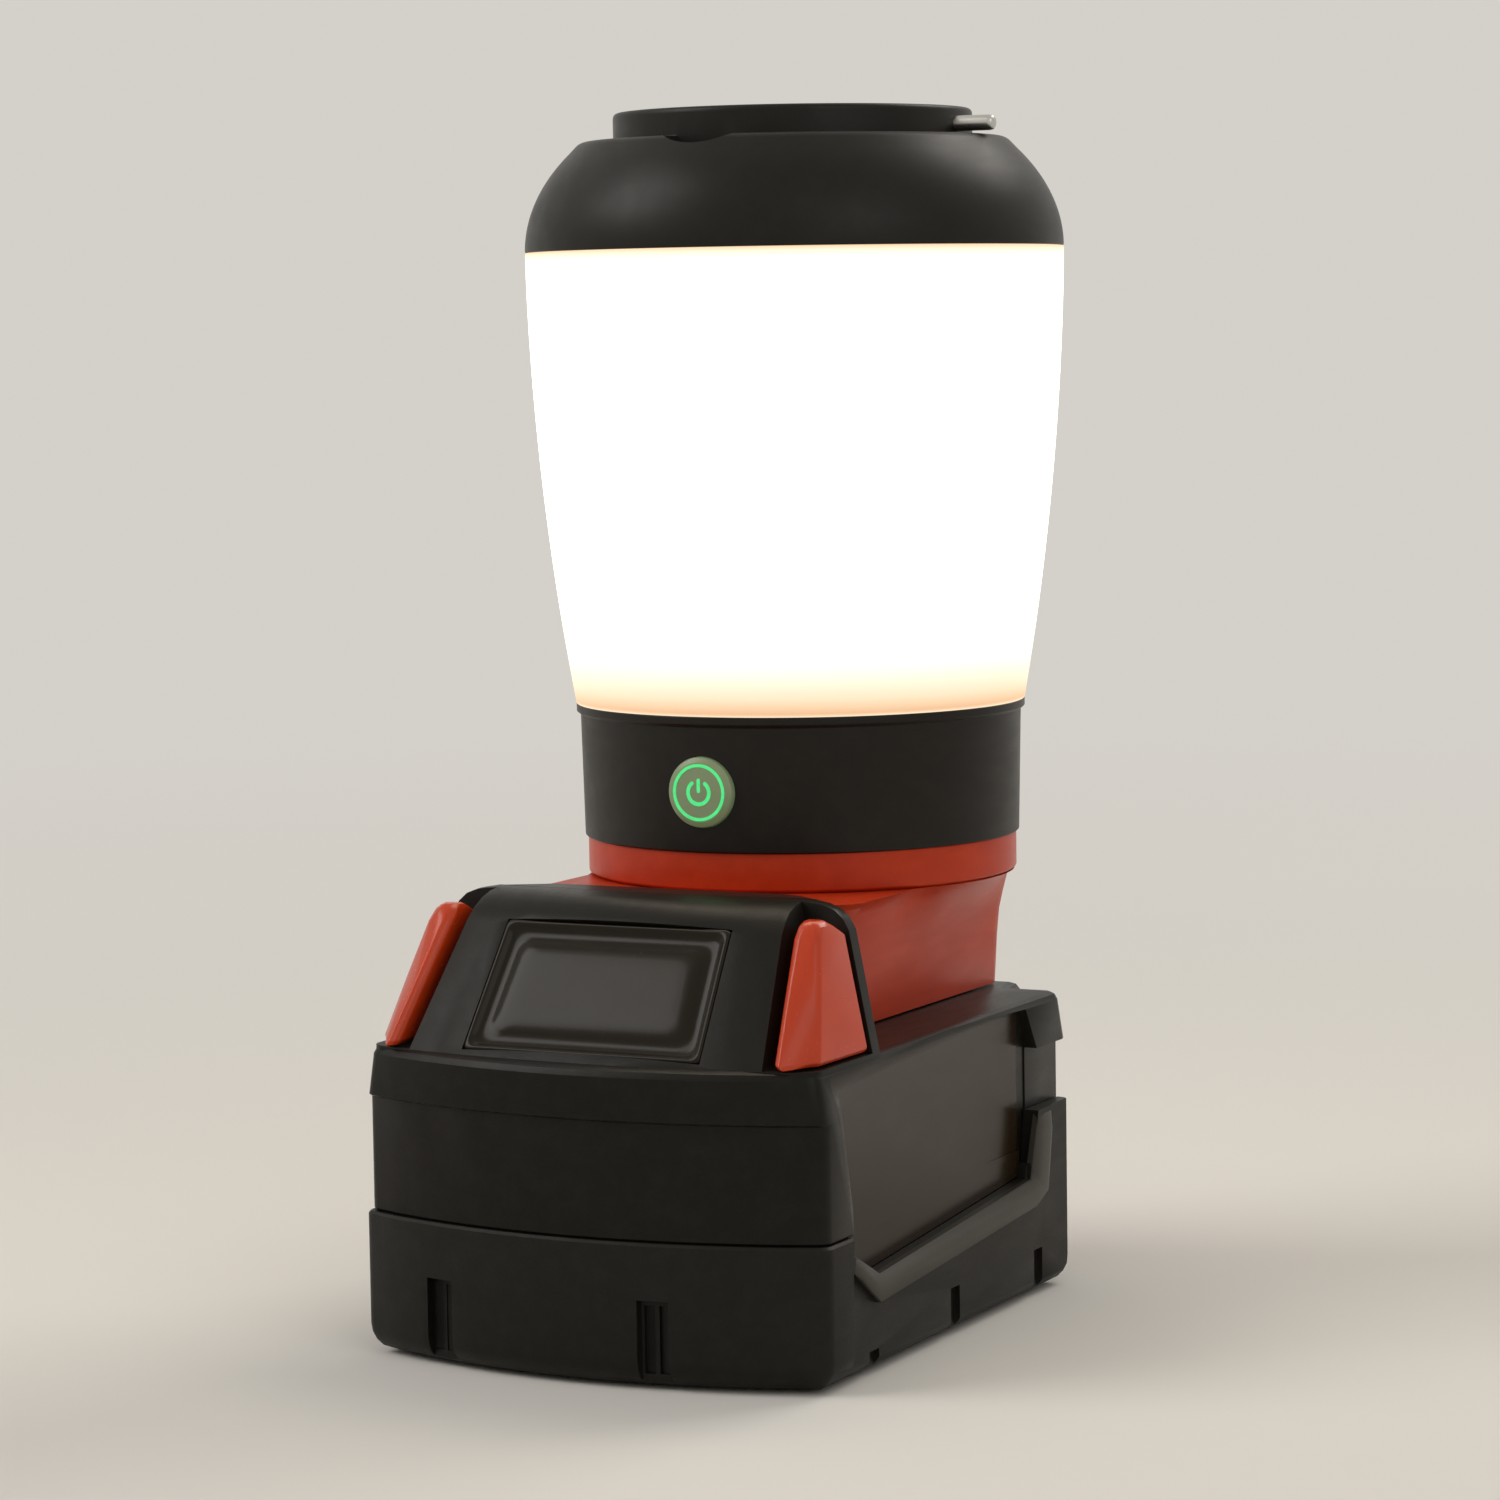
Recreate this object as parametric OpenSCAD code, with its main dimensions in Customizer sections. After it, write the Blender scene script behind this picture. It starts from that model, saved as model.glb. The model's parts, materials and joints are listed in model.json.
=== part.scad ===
// Camping lantern that slides onto an 18 V slide-type battery pack. Millimetres, +Z up, front toward -Y.

/* [Lamp head] */
// Radius of the cap and of the widest part of the lens
cap_r = 44; // [36:0.5:54]
// Height of the domed cap from its seam to the flat shoulder
dome_h = 17.8; // [14:0.1:22]
// Height that the full dome would reach if the shoulder did not cut it off
dome_rise = 28.5; // [26:0.1:34]
// Radius of the round rim on top of the cap
rim_r = 29.3; // [24:0.1:31]
// Height of the rim above the shoulder
rim_h = 4.6; // [4:0.1:8]
// Wall of the rim
rim_wall = 3; // [2.4:0.1:4]
// Wall of the cap
cap_wall = 2.2; // [1.6:0.1:3]
// Height of the lens
lens_h = 73.7; // [60:0.1:92]
// Radius of the lens where it meets the switch band
lens_foot_r = 36.9; // [34:0.1:44]
// Wall of the lens
lens_wall = 2; // [1.5:0.1:3]

/* [Hanging bail] */
// Wire of the hanging bail
wire_d = 2.5; // [1.6:0.1:3]
// Radius of the bail's arch, to the middle of the wire
bail_r = 18; // [14:0.1:19.5]
// Radius of the bends between arch and pivots
bail_bend_r = 2.5; // [2:0.1:4]
// How far the wire's end stands out of the rim
bail_tail = 6.7; // [4:0.1:9]
// Radial clearance of the wire in its pivot holes
bail_fit = 0.08; // [0.02:0.01:0.1]

/* [Switch band] */
// Height of the black band
band_h = 21.7; // [18:0.1:28]
// Radius of the band at its foot
band_foot_r = 35.8; // [34:0.1:40]
// Wall of the band
band_wall = 2.2; // [1.6:0.1:3]
// Height of the lip round the top of the band
band_lip_h = 1.5; // [1:0.1:3]
// Diameter of the power button
button_d = 11.3; // [8:0.1:14]
// How far the button stands out of the band
button_out = 1; // [0.8:0.1:2]
// Travel of the power button
button_travel = 0.7; // [0.4:0.1:0.7]
// Radial clearance of the button in its hole
button_fit = 0.1; // [0.05:0.01:0.1]

/* [Base] */
// Height of the round collar under the band
collar_h = 6.4; // [5:0.1:10]
// Radius of the collar
collar_r = 35.3; // [33:0.1:40]
// Width of the block at its foot
block_w = 51; // [49:0.5:60]
// Width of the block at its top ledge
block_top_w = 58.6; // [54:0.1:66]
// Reach of the block in front of the lamp's axis
block_front = 42.6; // [41:0.1:43]
// Reach of the block behind the lamp's axis, at its foot
block_rear = 23.4; // [22:0.1:30]
// Height of the block
block_h = 20.5; // [18:0.1:26]
// Wall of the block round its cavity
block_wall = 3.3; // [2:0.1:3.5]

/* [Battery pack] */
// Width of the pack's lower shell
pack_w = 80.4; // [77:0.1:96]
// From the lamp's axis to the pack's front corners
pack_front = 75.5; // [75:0.1:88]
// How far the pack's front bows out between its corners
pack_bow = 7.3; // [3:0.1:12]
// From the lamp's axis to the pack's rear corners
pack_rear = 18; // [17:0.1:24]
// How far the middle of the rear stands out behind the corners
pack_bulge = 7; // [4:0.1:10]
// Height of the parting line
parting_z = 22.3; // [20:0.1:26]
// Height of the shoulder that the lamp's base slides over
shoulder_z = 48.5; // [46:0.1:56]
// Height of the hood in front of the lamp
hood_z = 71.4; // [68:0.1:76]
// Wall of the pack's shells
pack_wall = 2; // [1.5:0.1:2.4]
// Rounding along the bottom edge
pack_foot_r = 4.5; // [3:0.1:6]
// Diameter of one cell
cell_d = 18.1; // [17.5:0.1:18.1]
// Length of one cell
cell_l = 65; // [60:0.1:66]

/* [Rails] */
// Width over the pack's rails
rail_w = 37; // [34:0.1:38]
// Width of the neck under the rails
neck_w = 30; // [26:0.1:32]
// Height of the neck's undercut
neck_h = 7.2; // [6:0.1:8]
// Thickness of the rails
rail_h = 4.3; // [3:0.1:4.5]
// Height of the tower above the shoulder
tower_h = 15.2; // [14:0.1:15.5]
// Clearance between rails and shoe on every side
rail_fit = 0.35; // [0.3:0.01:0.5]

/* [Latches] */
// Inward travel of each latch button
latch_travel = 1.8; // [1:0.1:1.8]
// How far the latch buttons stand out of the hood
latch_proud = 0.9; // [0.5:0.1:1.2]

/* [Hidden] */
$fn = 96;
cell_count = 10;
side_count = 4;

// The origin is the middle of the overall footprint, so the lamp's axis lies behind it
lamp_y = (pack_front + pack_bow - cap_r) / 2;

// Heights, from the ground up
slide_gap = 0.3;
block_z = shoulder_z + slide_gap;
collar_z = block_z + block_h;
band_z = collar_z + collar_h;
lens_z = band_z + band_h;
cap_z = lens_z + lens_h;
rim_z = cap_z + dome_h;
top_z = rim_z + rim_h;
well_r = rim_r - rim_wall;
well_z = top_z - 5.9;
bail_z = rim_z + wire_d / 2 + 0.45;
blind_depth = rim_wall * 0.66;

// Lamp interior
deck_t = 2;
deck_z = lens_z - 5;
reflector_t = 1;
column_w = 20;
column_z = deck_z + deck_t + reflector_t;
column_top = cap_z - 6;
board_t = 1.2;
board_w = 16;
led_w = 3.5;
led_t = 0.8;
led_count = 5;
gasket_t = 0.8;
gasket_w = 1;
spigot_fit = 0.3;
spigot_wall = 1.8;
spigot_h = 4;
neck_fit = 0.4;
neck_wall = 1.6;
neck_depth = 2.4;

// Switch band
board_seat = 2.3;
band_top_r = lens_foot_r - 0.4;
button_face_y = -(band_foot_r + 0.3 + button_out);
flange_t = 1;
flange_over = 0.8;
flange_r = button_d / 2 + flange_over;
// The button hangs under the lamp deck, and the collar's spigot stays clear below its flange
deck_clear = 0.55;
button_z = deck_z - deck_clear - flange_r;
spigot_rise = min(1.2, button_z - flange_r - band_z - 0.3);
flange_y = -sqrt(pow(band_foot_r - band_wall, 2) - pow(flange_r, 2)) + 0.15;
stem_r = 2;
stem_end_y = flange_y + flange_t + 2.8;
plunger_h = 0.6;
switch_h = 2;
switch_y = stem_end_y + button_travel + 0.1 + plunger_h + switch_h;

// Pack
upper_w = pack_w - 1.2;
chin_z = 40.7;
chin_step = 0.8;
rim_gap = 0.4;
bulge_w = 59;
side_wall = pack_wall + 0.6;
panel_sink = 2.4;
tab_top = 30.6;
panel_front = 66;
skirt_gap = 0.15;
hood_rear = 44;
hood_frame = 52.5;
hood_lean = 0.72;
hood_draft = 0.2;
hood_bow = 4;
latch_foot = shoulder_z + 0.4;
latch_top = hood_z - 2;
latch_gap = latch_travel + 0.3;
tower_front = 40;
tower_rear = 16;
shoe_lip = neck_w / 2 + rail_fit;
shoe_in = rail_w / 2 + rail_fit;
shoe_out = block_w / 2 - block_wall;
rail_z = shoulder_z + neck_h;

// ---------- outlines and lofts ----------

// Points of an arc
function arc(c, r, a0, a1, k) =
    [for (i = [0:k]) let (a = a0 + (a1 - a0) * i / k) [c.x + r * cos(a), c.y + r * sin(a)]];

// Points of a front edge that bows toward -Y between two corners
function bowed(hw, y, bow, k) =
    [for (i = [1:k - 1]) let (x = hw * (2 * i / k - 1)) [x, y - bow * (1 - pow(x / hw, 2))]];

// Outline of the pack, counter-clockwise, drawn in by d all round
function pack_outline(w, d = 0, dy = 0, r = 2.4, bulge = pack_bulge) =
    let (hw = w / 2 - d, f = -(pack_front - d - dy), b = pack_rear - d, c = max(r - d, 0.4), h = bulge_w / 2 - d)
    concat(arc([-hw + c, f + c], c, 180, 250, 4),
           bowed(hw - c / 2, f, pack_bow, 14),
           arc([hw - c, f + c], c, 290, 360, 4),
           arc([hw - c, b - c], c, 0, 90, 3),
           [[h, b], [h - 1.5, b + bulge], [-h + 1.5, b + bulge], [-h, b]],
           arc([-hw + c, b - c], c, 90, 180, 3));

// Middle of a ring's box, in the plane
function middle(pts) = let (xs = [for (p = pts) p.x], ys = [for (p = pts) p.y])
    [(max(xs) + min(xs)) / 2, (max(ys) + min(ys)) / 2];

// Solid through rings of points, each ring [height, points], closed by fans round the middle of both ends
module loft(rings) {
    n = len(rings[0][1]);
    m = len(rings);
    low = middle(rings[0][1]);
    high = middle(rings[m - 1][1]);
    points = concat([for (ring = rings) for (p = ring[1]) [p.x, p.y, ring[0]]],
                    [[low.x, low.y, rings[0][0]], [high.x, high.y, rings[m - 1][0]]]);
    faces = [for (i = [0:n - 1]) let (j = (i + 1) % n, last = (m - 1) * n) each concat(
        [[m * n, i, j], [m * n + 1, last + j, last + i]],
        [for (k = [0:m - 2]) let (low_row = k * n, high_row = low_row + n)
            each [[low_row + i, high_row + i, high_row + j], [low_row + i, high_row + j, low_row + j]]])];
    polyhedron(points, faces);
}

// Prism that runs along X from x0 to x1, with its profile given as [y, z]
module side_prism(profile, x0, x1) {
    translate([x0, 0, 0]) rotate([90, 0, 90]) linear_extrude(x1 - x0) polygon(profile);
}

// Copy on both sides of the lamp's mid plane
module both_sides() {
    children();
    mirror([1, 0, 0]) children();
}

module ring(r_out, r_in, h) {
    difference() {
        cylinder(r = r_out, h = h);
        translate([0, 0, -1]) cylinder(r = r_in, h = h + 2);
    }
}

module at_lamp(z = 0) {
    translate([0, lamp_y, z]) children();
}

// ---------- cap and bail ----------

// Outside of the dome: radius at a height above the seam
function dome_r(h) = cap_r * sqrt(1 - pow(h / dome_rise, 2));

module top_cap() {
    shoulder_r = dome_r(dome_h - 1.4) - 0.6;
    steps = 10;
    web = 2.2;
    outside = concat([for (i = [0:steps]) let (h = (dome_h - 1.4) * i / steps) [dome_r(h), cap_z + h]],
                     [[shoulder_r - 1, rim_z - 0.35], [shoulder_r - 2.6, rim_z]]);
    inside = [for (i = [steps:-1:0]) let (h = web + (dome_h - 4.4 - web) * i / steps)
        [dome_r(h) - cap_wall, cap_z + h]];
    spigot_r = cap_r - lens_wall - spigot_fit;
    color("#1c1c1d") at_lamp() difference() {
        union() {
            rotate_extrude() polygon(concat([[spigot_r, cap_z]], outside,
                [[rim_r, rim_z], [rim_r, top_z - 1.5], [rim_r - 0.45, top_z - 0.45], [rim_r - 1.5, top_z],
                 [well_r + 0.6, top_z], [well_r, top_z - 0.6], [well_r, well_z + 0.8], [well_r - 0.8, well_z],
                 [0, well_z], [0, well_z - cap_wall]],
                inside,
                [[spigot_r - spigot_wall, cap_z + web - 0.6], [spigot_r - spigot_wall, cap_z - spigot_h],
                 [spigot_r, cap_z - spigot_h]]));
            translate([0, 0, column_top + reflector_t]) cylinder(d = 14, h = well_z - column_top - reflector_t - 1);
        }
        // Pivot holes of the bail: through on one side, blind on the other
        translate([well_r - 1, 0, bail_z]) rotate([0, 90, 0]) cylinder(r = wire_d / 2 + bail_fit, h = rim_wall + 2);
        translate([-well_r - blind_depth, 0, bail_z]) rotate([0, 90, 0])
            cylinder(r = wire_d / 2 + bail_fit, h = blind_depth + 1);
        // Thumb scoop in the shoulder under the front of the rim
        difference() {
            translate([0, -rim_r - 1.7, rim_z + 6.7]) sphere(r = 9.5);
            translate([0, 0, rim_z - 4]) cylinder(r = rim_r, h = 20);
        }
    }
}

// Bend of the bail's wire in the XY plane, round the origin
module wire_bend(r, from, turn) {
    rotate([0, 0, from]) rotate_extrude(angle = turn) translate([r, 0]) circle(d = wire_d);
}

// Wire that lies along X, folded forward into the well, with its free end outside the rim
module hanging_bail() {
    side = bail_r + bail_bend_r;
    blind_end = well_r + blind_depth - 0.4;
    reach = rim_r + bail_tail - side;
    r = wire_d / 2;
    color("#c9c9c6") at_lamp(bail_z) {
        translate([-blind_end, 0, 0]) rotate([0, 90, 0]) cylinder(r = r, h = blind_end - side);
        translate([-side, -bail_bend_r, 0]) wire_bend(bail_bend_r, 0, 90);
        translate([side, -bail_bend_r, 0]) wire_bend(bail_bend_r, 90, 90);
        translate([0, -bail_bend_r, 0]) wire_bend(bail_r, 180, 180);
        translate([side, 0, 0]) rotate([0, 90, 0]) rotate_extrude()
            polygon([[0, 0], [r, 0], [r, reach - 0.7], [r - 0.2, reach - 0.25], [r - 0.65, reach], [0, reach]]);
    }
}

// ---------- lens and light ----------

// Outside of the lens: radius at a depth below the cap's seam, a barrel that narrows faster toward its foot
function lens_r(h) = cap_r - (cap_r - lens_foot_r) * (0.19 * h / lens_h + 0.81 * pow(h / lens_h, 2));

module lens() {
    steps = 14;
    outside = [for (i = [0:steps]) let (h = lens_h * (1 - i / steps)) [lens_r(h), cap_z - h]];
    web = 1.8;
    inside = [for (i = [steps:-1:0]) let (h = (lens_h - web) * (1 - i / steps)) [lens_r(h) - lens_wall, cap_z - h]];
    neck = lens_foot_r - lens_wall - neck_fit;
    color("#fdf3e2", 0.9) at_lamp() difference() {
        rotate_extrude() polygon(concat(outside, inside,
            [[neck - neck_wall, lens_z + web - 0.6], [neck - neck_wall, lens_z - neck_depth],
             [neck, lens_z - neck_depth], [neck, lens_z]]));
        translate([0, 0, cap_z - gasket_t]) cylinder(r = cap_r - lens_wall + gasket_w, h = gasket_t + 1);
    }
}

module cap_gasket() {
    top_in = cap_r - lens_wall;
    color("#3a3a3a") at_lamp(cap_z - gasket_t) ring(top_in + gasket_w - 0.05, top_in - 0.1, gasket_t);
}

module lens_gasket() {
    foot_in = lens_foot_r - lens_wall;
    color("#3a3a3a") at_lamp(lens_z - gasket_t) ring(foot_in + gasket_w - 0.05, foot_in - 0.2, gasket_t);
}

module top_reflector() {
    color("#f4f4f2") at_lamp(column_top) cylinder(r = cap_r - lens_wall - 4, h = reflector_t);
}

module lower_reflector() {
    color("#f4f4f2") at_lamp(deck_z + deck_t) cylinder(r = lens_foot_r - lens_wall - 2.4, h = reflector_t);
}

module led_column() {
    bore_d = 6;
    fin = 1.6;
    color("#c4c7ca") at_lamp(column_z) difference() {
        translate([-column_w / 2, -column_w / 2, 0]) cube([column_w, column_w, column_top - column_z]);
        translate([0, 0, -1]) cylinder(d = bore_d, h = column_top - column_z + 2);
        for (a = [45:90:315]) rotate([0, 0, a]) translate([column_w * 0.707 - 4, -fin / 2, -1])
            cube([5, fin, column_top - column_z + 2]);
    }
}

module on_column(i) {
    at_lamp(column_z) rotate([0, 0, 90 * i]) translate([0, -column_w / 2, 0]) children();
}

module led_board(i) {
    color("#f2f2ee") on_column(i) translate([-board_w / 2, -board_t, 2]) cube([board_w, board_t, column_top - column_z - 4]);
}

module led_row(i) {
    pitch = (column_top - column_z - 4) / led_count;
    color("#ffd98a") on_column(i) for (k = [0:led_count - 1])
        translate([-led_w / 2, -board_t - led_t, 2 + pitch * (k + 0.5) - led_w / 2]) cube([led_w, led_t, led_w]);
}

module lamp_deck() {
    color("#c4c7ca") at_lamp(deck_z) cylinder(r = band_foot_r - band_wall - 0.2, h = deck_t);
}

// ---------- switch band ----------

module switch_band() {
    lip_z = lens_z - band_lip_h;
    seat_r = lens_foot_r - lens_wall + gasket_w;
    in_r = band_foot_r - band_wall;
    bore_r = lens_foot_r - lens_wall - neck_fit + 0.15;
    color("#1d1d1c") at_lamp() difference() {
        rotate_extrude() polygon([[in_r, band_z], [band_foot_r, band_z], [band_top_r - 0.25, lip_z - 0.2],
                                  [band_top_r, lip_z], [lens_foot_r, lip_z + 0.3], [lens_foot_r, lens_z],
                                  [seat_r, lens_z], [seat_r, lens_z - gasket_t], [bore_r, lens_z - gasket_t],
                                  [bore_r, lens_z - neck_depth - 0.2], [in_r, lens_z - neck_depth - 1.1],
                                  [in_r, deck_z], [in_r - 2, deck_z], [in_r - 2, deck_z - 1.2], [in_r, deck_z - 3.2]]);
        translate([0, 0, button_z]) rotate([90, 0, 0]) cylinder(d = button_d + 2 * button_fit, h = band_foot_r + 5);
        translate([0, flange_y - 0.05, button_z]) rotate([-90, 0, 0]) cylinder(r = flange_r + 0.35, h = band_foot_r);
    }
}

// Round button with a soft edge, a retaining flange behind the wall and a stem that meets the switch
module power_button() {
    r = button_d / 2;
    flange = flange_y - button_face_y;
    stem = stem_end_y - button_face_y;
    color("#8c9678") at_lamp(button_z) translate([0, button_face_y, 0]) rotate([-90, 0, 0]) rotate_extrude()
        polygon([[0, 0], [r - 1, 0.12], [r - 0.3, 0.45], [r, 1.1], [r, flange], [flange_r, flange], [flange_r, flange + flange_t],
                 [stem_r, flange + flange_t], [stem_r, stem], [0, stem]]);
}

module tact_switch() {
    size = 6;
    color("#2b2b2b") at_lamp(button_z) translate([0, switch_y, 0]) rotate([90, 0, 0]) {
        translate([-size / 2, -size / 2, 0]) cube([size, size, switch_h]);
        translate([0, 0, switch_h]) cylinder(d = 3.4, h = plunger_h);
    }
}

module switch_board() {
    foot = band_z + board_seat + board_t;
    color("#1f6b3a") at_lamp() translate([-8, switch_y, foot]) cube([16, board_t, button_z + 5 - foot]);
}

module driver_board() {
    color("#1f6b3a") at_lamp(band_z + board_seat) {
        cylinder(r = 29, h = board_t);
        translate([-10, -2, board_t]) cube([11, 11, 7]);
        translate([5, 4, board_t]) cylinder(d = 8, h = 9);
        translate([-2, 14, board_t]) cube([9, 7, 4]);
    }
}

// ---------- base ----------

module base_collar() {
    web = 2;
    color("#c8281e") at_lamp(collar_z) {
        ring(collar_r, collar_r - 2.4, collar_h);
        cylinder(r = collar_r - 1, h = web);
        for (a = [45:90:315]) rotate([0, 0, a]) translate([25, 0, web / 2]) cylinder(d = 5, h = collar_h + board_seat - web / 2);
        ring(band_foot_r - band_wall - 0.15, collar_r - 4.4, collar_h + spigot_rise);
    }
}

// Distance from the lamp's axis to the edge of a rounded rectangle, looking along angle a
function box_reach(a, hw, yf, yb, r) =
    let (c = cos(a), s = sin(a), y = s < 0 ? yf : yb,
         flat = min(abs(c) < 0.001 ? 1e4 : hw / abs(c), abs(s) < 0.001 ? 1e4 : y / abs(s)),
         cx = hw - r, cy = y - r, m = cx * abs(c) + cy * abs(s),
         q = m * m - cx * cx - cy * cy + r * r, round_reach = m + sqrt(max(q, 0)))
    (flat * abs(c) > cx && flat * abs(s) > cy) ? round_reach : flat;

// Block that stands on the pack and flares out into the round collar
module base_shell() {
    heights = [0, 0.45, 0.62, 0.76, 0.87, 0.95, 1];
    flare_from = heights[1];
    angles = [for (i = [0:143]) let (a = i * 2.5, near = min([for (c = [43, 137, 237, 303]) abs(a - c)]))
        if (i % 2 == 0 || near < 7) a];
    rings = [for (t = heights) let (
        w = t < flare_from ? 0 : 1 - sqrt(1 - pow((t - flare_from) / (1 - flare_from), 2)),
        draft = (block_top_w - block_w) / 2 * (0.35 * t + 0.65 * w))
        [block_z + block_h * t,
         [for (a = angles) let (foot = box_reach(a, block_w / 2 + draft, block_front, block_rear, 4),
                                rho = foot + max(collar_r - 0.3 - foot, 0) * w) [rho * cos(a), rho * sin(a)]]]];
    roof = 2.2;
    color("#c8281e") at_lamp() difference() {
        loft(rings);
        translate([-shoe_out, -block_front - 1, block_z - 1]) cube([2 * shoe_out, block_front + 1 + 19.8, block_h + 1 - roof]);
    }
}

// Channel that wraps the pack's rails
module rail_shoe() {
    top = collar_z - 2.2;
    front = block_front - 0.6;
    color("#262626") at_lamp() difference() {
        translate([-shoe_out, -front, block_z]) cube([2 * shoe_out, front + 17.5, top - block_z]);
        translate([-shoe_in, -front - 1, rail_z - rail_fit]) cube([2 * shoe_in, front + 30, top - 1.6 - rail_z + rail_fit]);
        translate([-shoe_lip, -front - 1, block_z - 1]) cube([2 * shoe_lip, front + 30, neck_h + 2]);
    }
}

module contact_block() {
    color("#262626") at_lamp() translate([-14, 17.5, shoulder_z + 7]) cube([28, 2.3, 9]);
}

blade_x = [-9, 0, 9];
blade_t = 0.8;
blade_h = 5;
module contact_blades() {
    color("#c9924a") at_lamp() for (x = blade_x)
        translate([x - blade_t / 2, 5, shoulder_z + 9]) cube([blade_t, 12.5, blade_h]);
}

// ---------- battery pack ----------

// Tower with the rails, and slots that take the lamp's contact blades
module terminal_tower() {
    top_w = rail_w - 5;
    length = tower_front + tower_rear;
    color("#202022") at_lamp() difference() {
        union() {
            translate([-neck_w / 2, -tower_front, shoulder_z]) cube([neck_w, length, neck_h + 1]);
            translate([-rail_w / 2, -tower_front, rail_z]) cube([rail_w, length, rail_h]);
            translate([-top_w / 2, -tower_front, rail_z]) cube([top_w, length, tower_h - neck_h]);
        }
        for (x = blade_x) translate([x - blade_t / 2 - 0.4, 3.5, shoulder_z + 8.2])
            cube([blade_t + 0.8, tower_rear, tower_h]);
    }
}

// Side window of the pack, as [y, z]: slanted front edge, chevron foot and upright rear edge
function window(d) = [[-panel_front - 3.4 + d, chin_z], [-panel_front + d, 26], [-panel_front + d, 19.4 + d],
                      [-panel_front + 8.7, 15.3 + d], [0.4 - d, 19.8 + d], [4 - d, 31], [4 - d, chin_z]];
rib_w = 4.4;
side_step = 0.6;

// Outer edge of the chevron rib
function rib_foot() = [[-panel_front - 0.4, 17], [-panel_front + 8.2, 15.3 - rib_w], [2.1, 19.8 - rib_w - 0.3],
                       [4 + rib_w - 1, 17], [4 + rib_w + 1.4, 31]];

// Tab of the lower shell that laps a rear corner of the upper one, grown by d
module rear_tab(d) {
    side_prism([[2 - d, parting_z - 1], [4 - d, tab_top + d], [pack_rear + d, tab_top + d], [pack_rear + d, parting_z - 1]],
               pack_w / 2 - side_wall - d, pack_w / 2 + d);
}

module lower_shell() {
    edge = [for (b = [90:-18:0]) [pack_foot_r * (1 - sin(b)), pack_foot_r * (1 - cos(b))]];
    slot_x = [-26.5, 11.5];
    slot_w = 5;
    slot_top = 13.6;
    slot_depth = 1.6;
    color("#232322") at_lamp() difference() {
        union() {
            loft(concat([for (e = edge) [e[0], pack_outline(pack_w, e[1])]],
                        [[parting_z - rim_gap, pack_outline(pack_w)], [parting_z, pack_outline(pack_w, rim_gap)]]));
            // Tabs that rise at the rear corners
            intersection() {
                both_sides() rear_tab(0);
                linear_extrude(chin_z) polygon(pack_outline(pack_w));
            }
        }
        translate([0, 0, pack_wall]) linear_extrude(parting_z) polygon(pack_outline(pack_w, side_wall));
        cell_bays();
        both_sides() {
            side_prism(window(0), pack_w / 2 - side_wall - 0.4, pack_w / 2 + 1);
            // Step below and behind the rib
            side_prism(concat(rib_foot(), [[40, 31], [40, -1], [-panel_front - 0.4, -1]]), pack_w / 2 - side_step, pack_w / 2 + 1);
        }
        // Shallow slots low in the front
        difference() {
            for (x = slot_x) translate([x, -pack_front - pack_bow - 1, -1]) cube([slot_w, pack_bow + 6, slot_top + 1]);
            translate([0, 0, -2]) linear_extrude(parting_z) polygon(pack_outline(pack_w, slot_depth));
        }
        // Notches along the foot of the sides
        both_sides() for (y = [-60, -30, 3]) translate([pack_w / 2 - 1.6, y, -1]) cube([3, 3.4, 4.6 + (y == -60 ? 0 : 4)]);
    }
}

module upper_shell() {
    hw = upper_w / 2;
    body = [[parting_z, pack_outline(upper_w, rim_gap, chin_step)], [parting_z + rim_gap, pack_outline(upper_w, 0, chin_step)],
            [chin_z - 0.4, pack_outline(upper_w, 0, chin_step)], [chin_z, pack_outline(upper_w)],
            [shoulder_z - 1.3, pack_outline(upper_w - 2)], [shoulder_z - 0.4, pack_outline(upper_w - 2, 0.5)],
            [shoulder_z, pack_outline(upper_w - 2, 1.4)]];
    color("#232322") at_lamp() difference() {
        union() {
            difference() {
                loft(body);
                translate([0, 0, parting_z - 1]) linear_extrude(shoulder_z - parting_z + 1 - side_wall)
                    polygon(pack_outline(upper_w - 2 * panel_sink, pack_wall, chin_step));
                cell_bays();
                both_sides() {
                    // Sunk side panel, deeper toward the rear
                    translate([0, -panel_front, 0]) rotate([0, 0, 1.4]) translate([0, panel_front, 0])
                        side_prism(concat(window(0), [[2, shoulder_z - 1.2], [-panel_front - 3.6, shoulder_z + 1]]),
                                   hw - 0.7, hw + 5);
                    // Undercut between the rear flange and the tab
                    side_prism([[2, 29], [2, chin_z], [40, chin_z], [40, 29]], hw - 2.2, hw + 5);
                }
            }
            // Skirts that fill the windows of the lower shell
            both_sides() side_prism([for (p = window(skirt_gap)) [p.x, min(p.y, parting_z + 2)]],
                                    pack_w / 2 - side_wall - 1.6, pack_w / 2 - side_wall);
            hood();
        }
        hood_recess(0);
        both_sides() {
            latch_pocket();
            rear_tab(0.2);
        }
        // Hollow under the hood
        loft([for (z = [shoulder_z - 4, hood_z - 3]) let (f = -hood_front(z) + 6, b = -hood_rear - 3)
            [z, [[-20, f], [20, f], [20, b], [-20, b]]]]);
    }
}

// Reach of the hood's front in front of the lamp's axis, at mid width, and its half width, at height z
function hood_front(z) = pack_front + 4 - hood_lean * max(z - shoulder_z, 0);
function hood_hw(z) = upper_w / 2 - 1.2 - hood_draft * max(z - shoulder_z, 0);

// Outline of the hood, drawn in by d in front and by half as much again at the sides
function hood_outline(z, d) =
    let (hw = hood_hw(z) - 1.5 * d, f = -hood_front(z) + hood_bow + d, c = 3)
    concat(arc([-hw + c, f + c], c, 180, 255, 5),
           bowed(hw - c / 2, f, hood_bow, 12),
           arc([hw - c, f + c], c, 285, 360, 5),
           [[hw, -hood_frame], [hw - 8, -hood_rear - d], [-hw + 8, -hood_rear - d], [-hw, -hood_frame]]);

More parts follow.
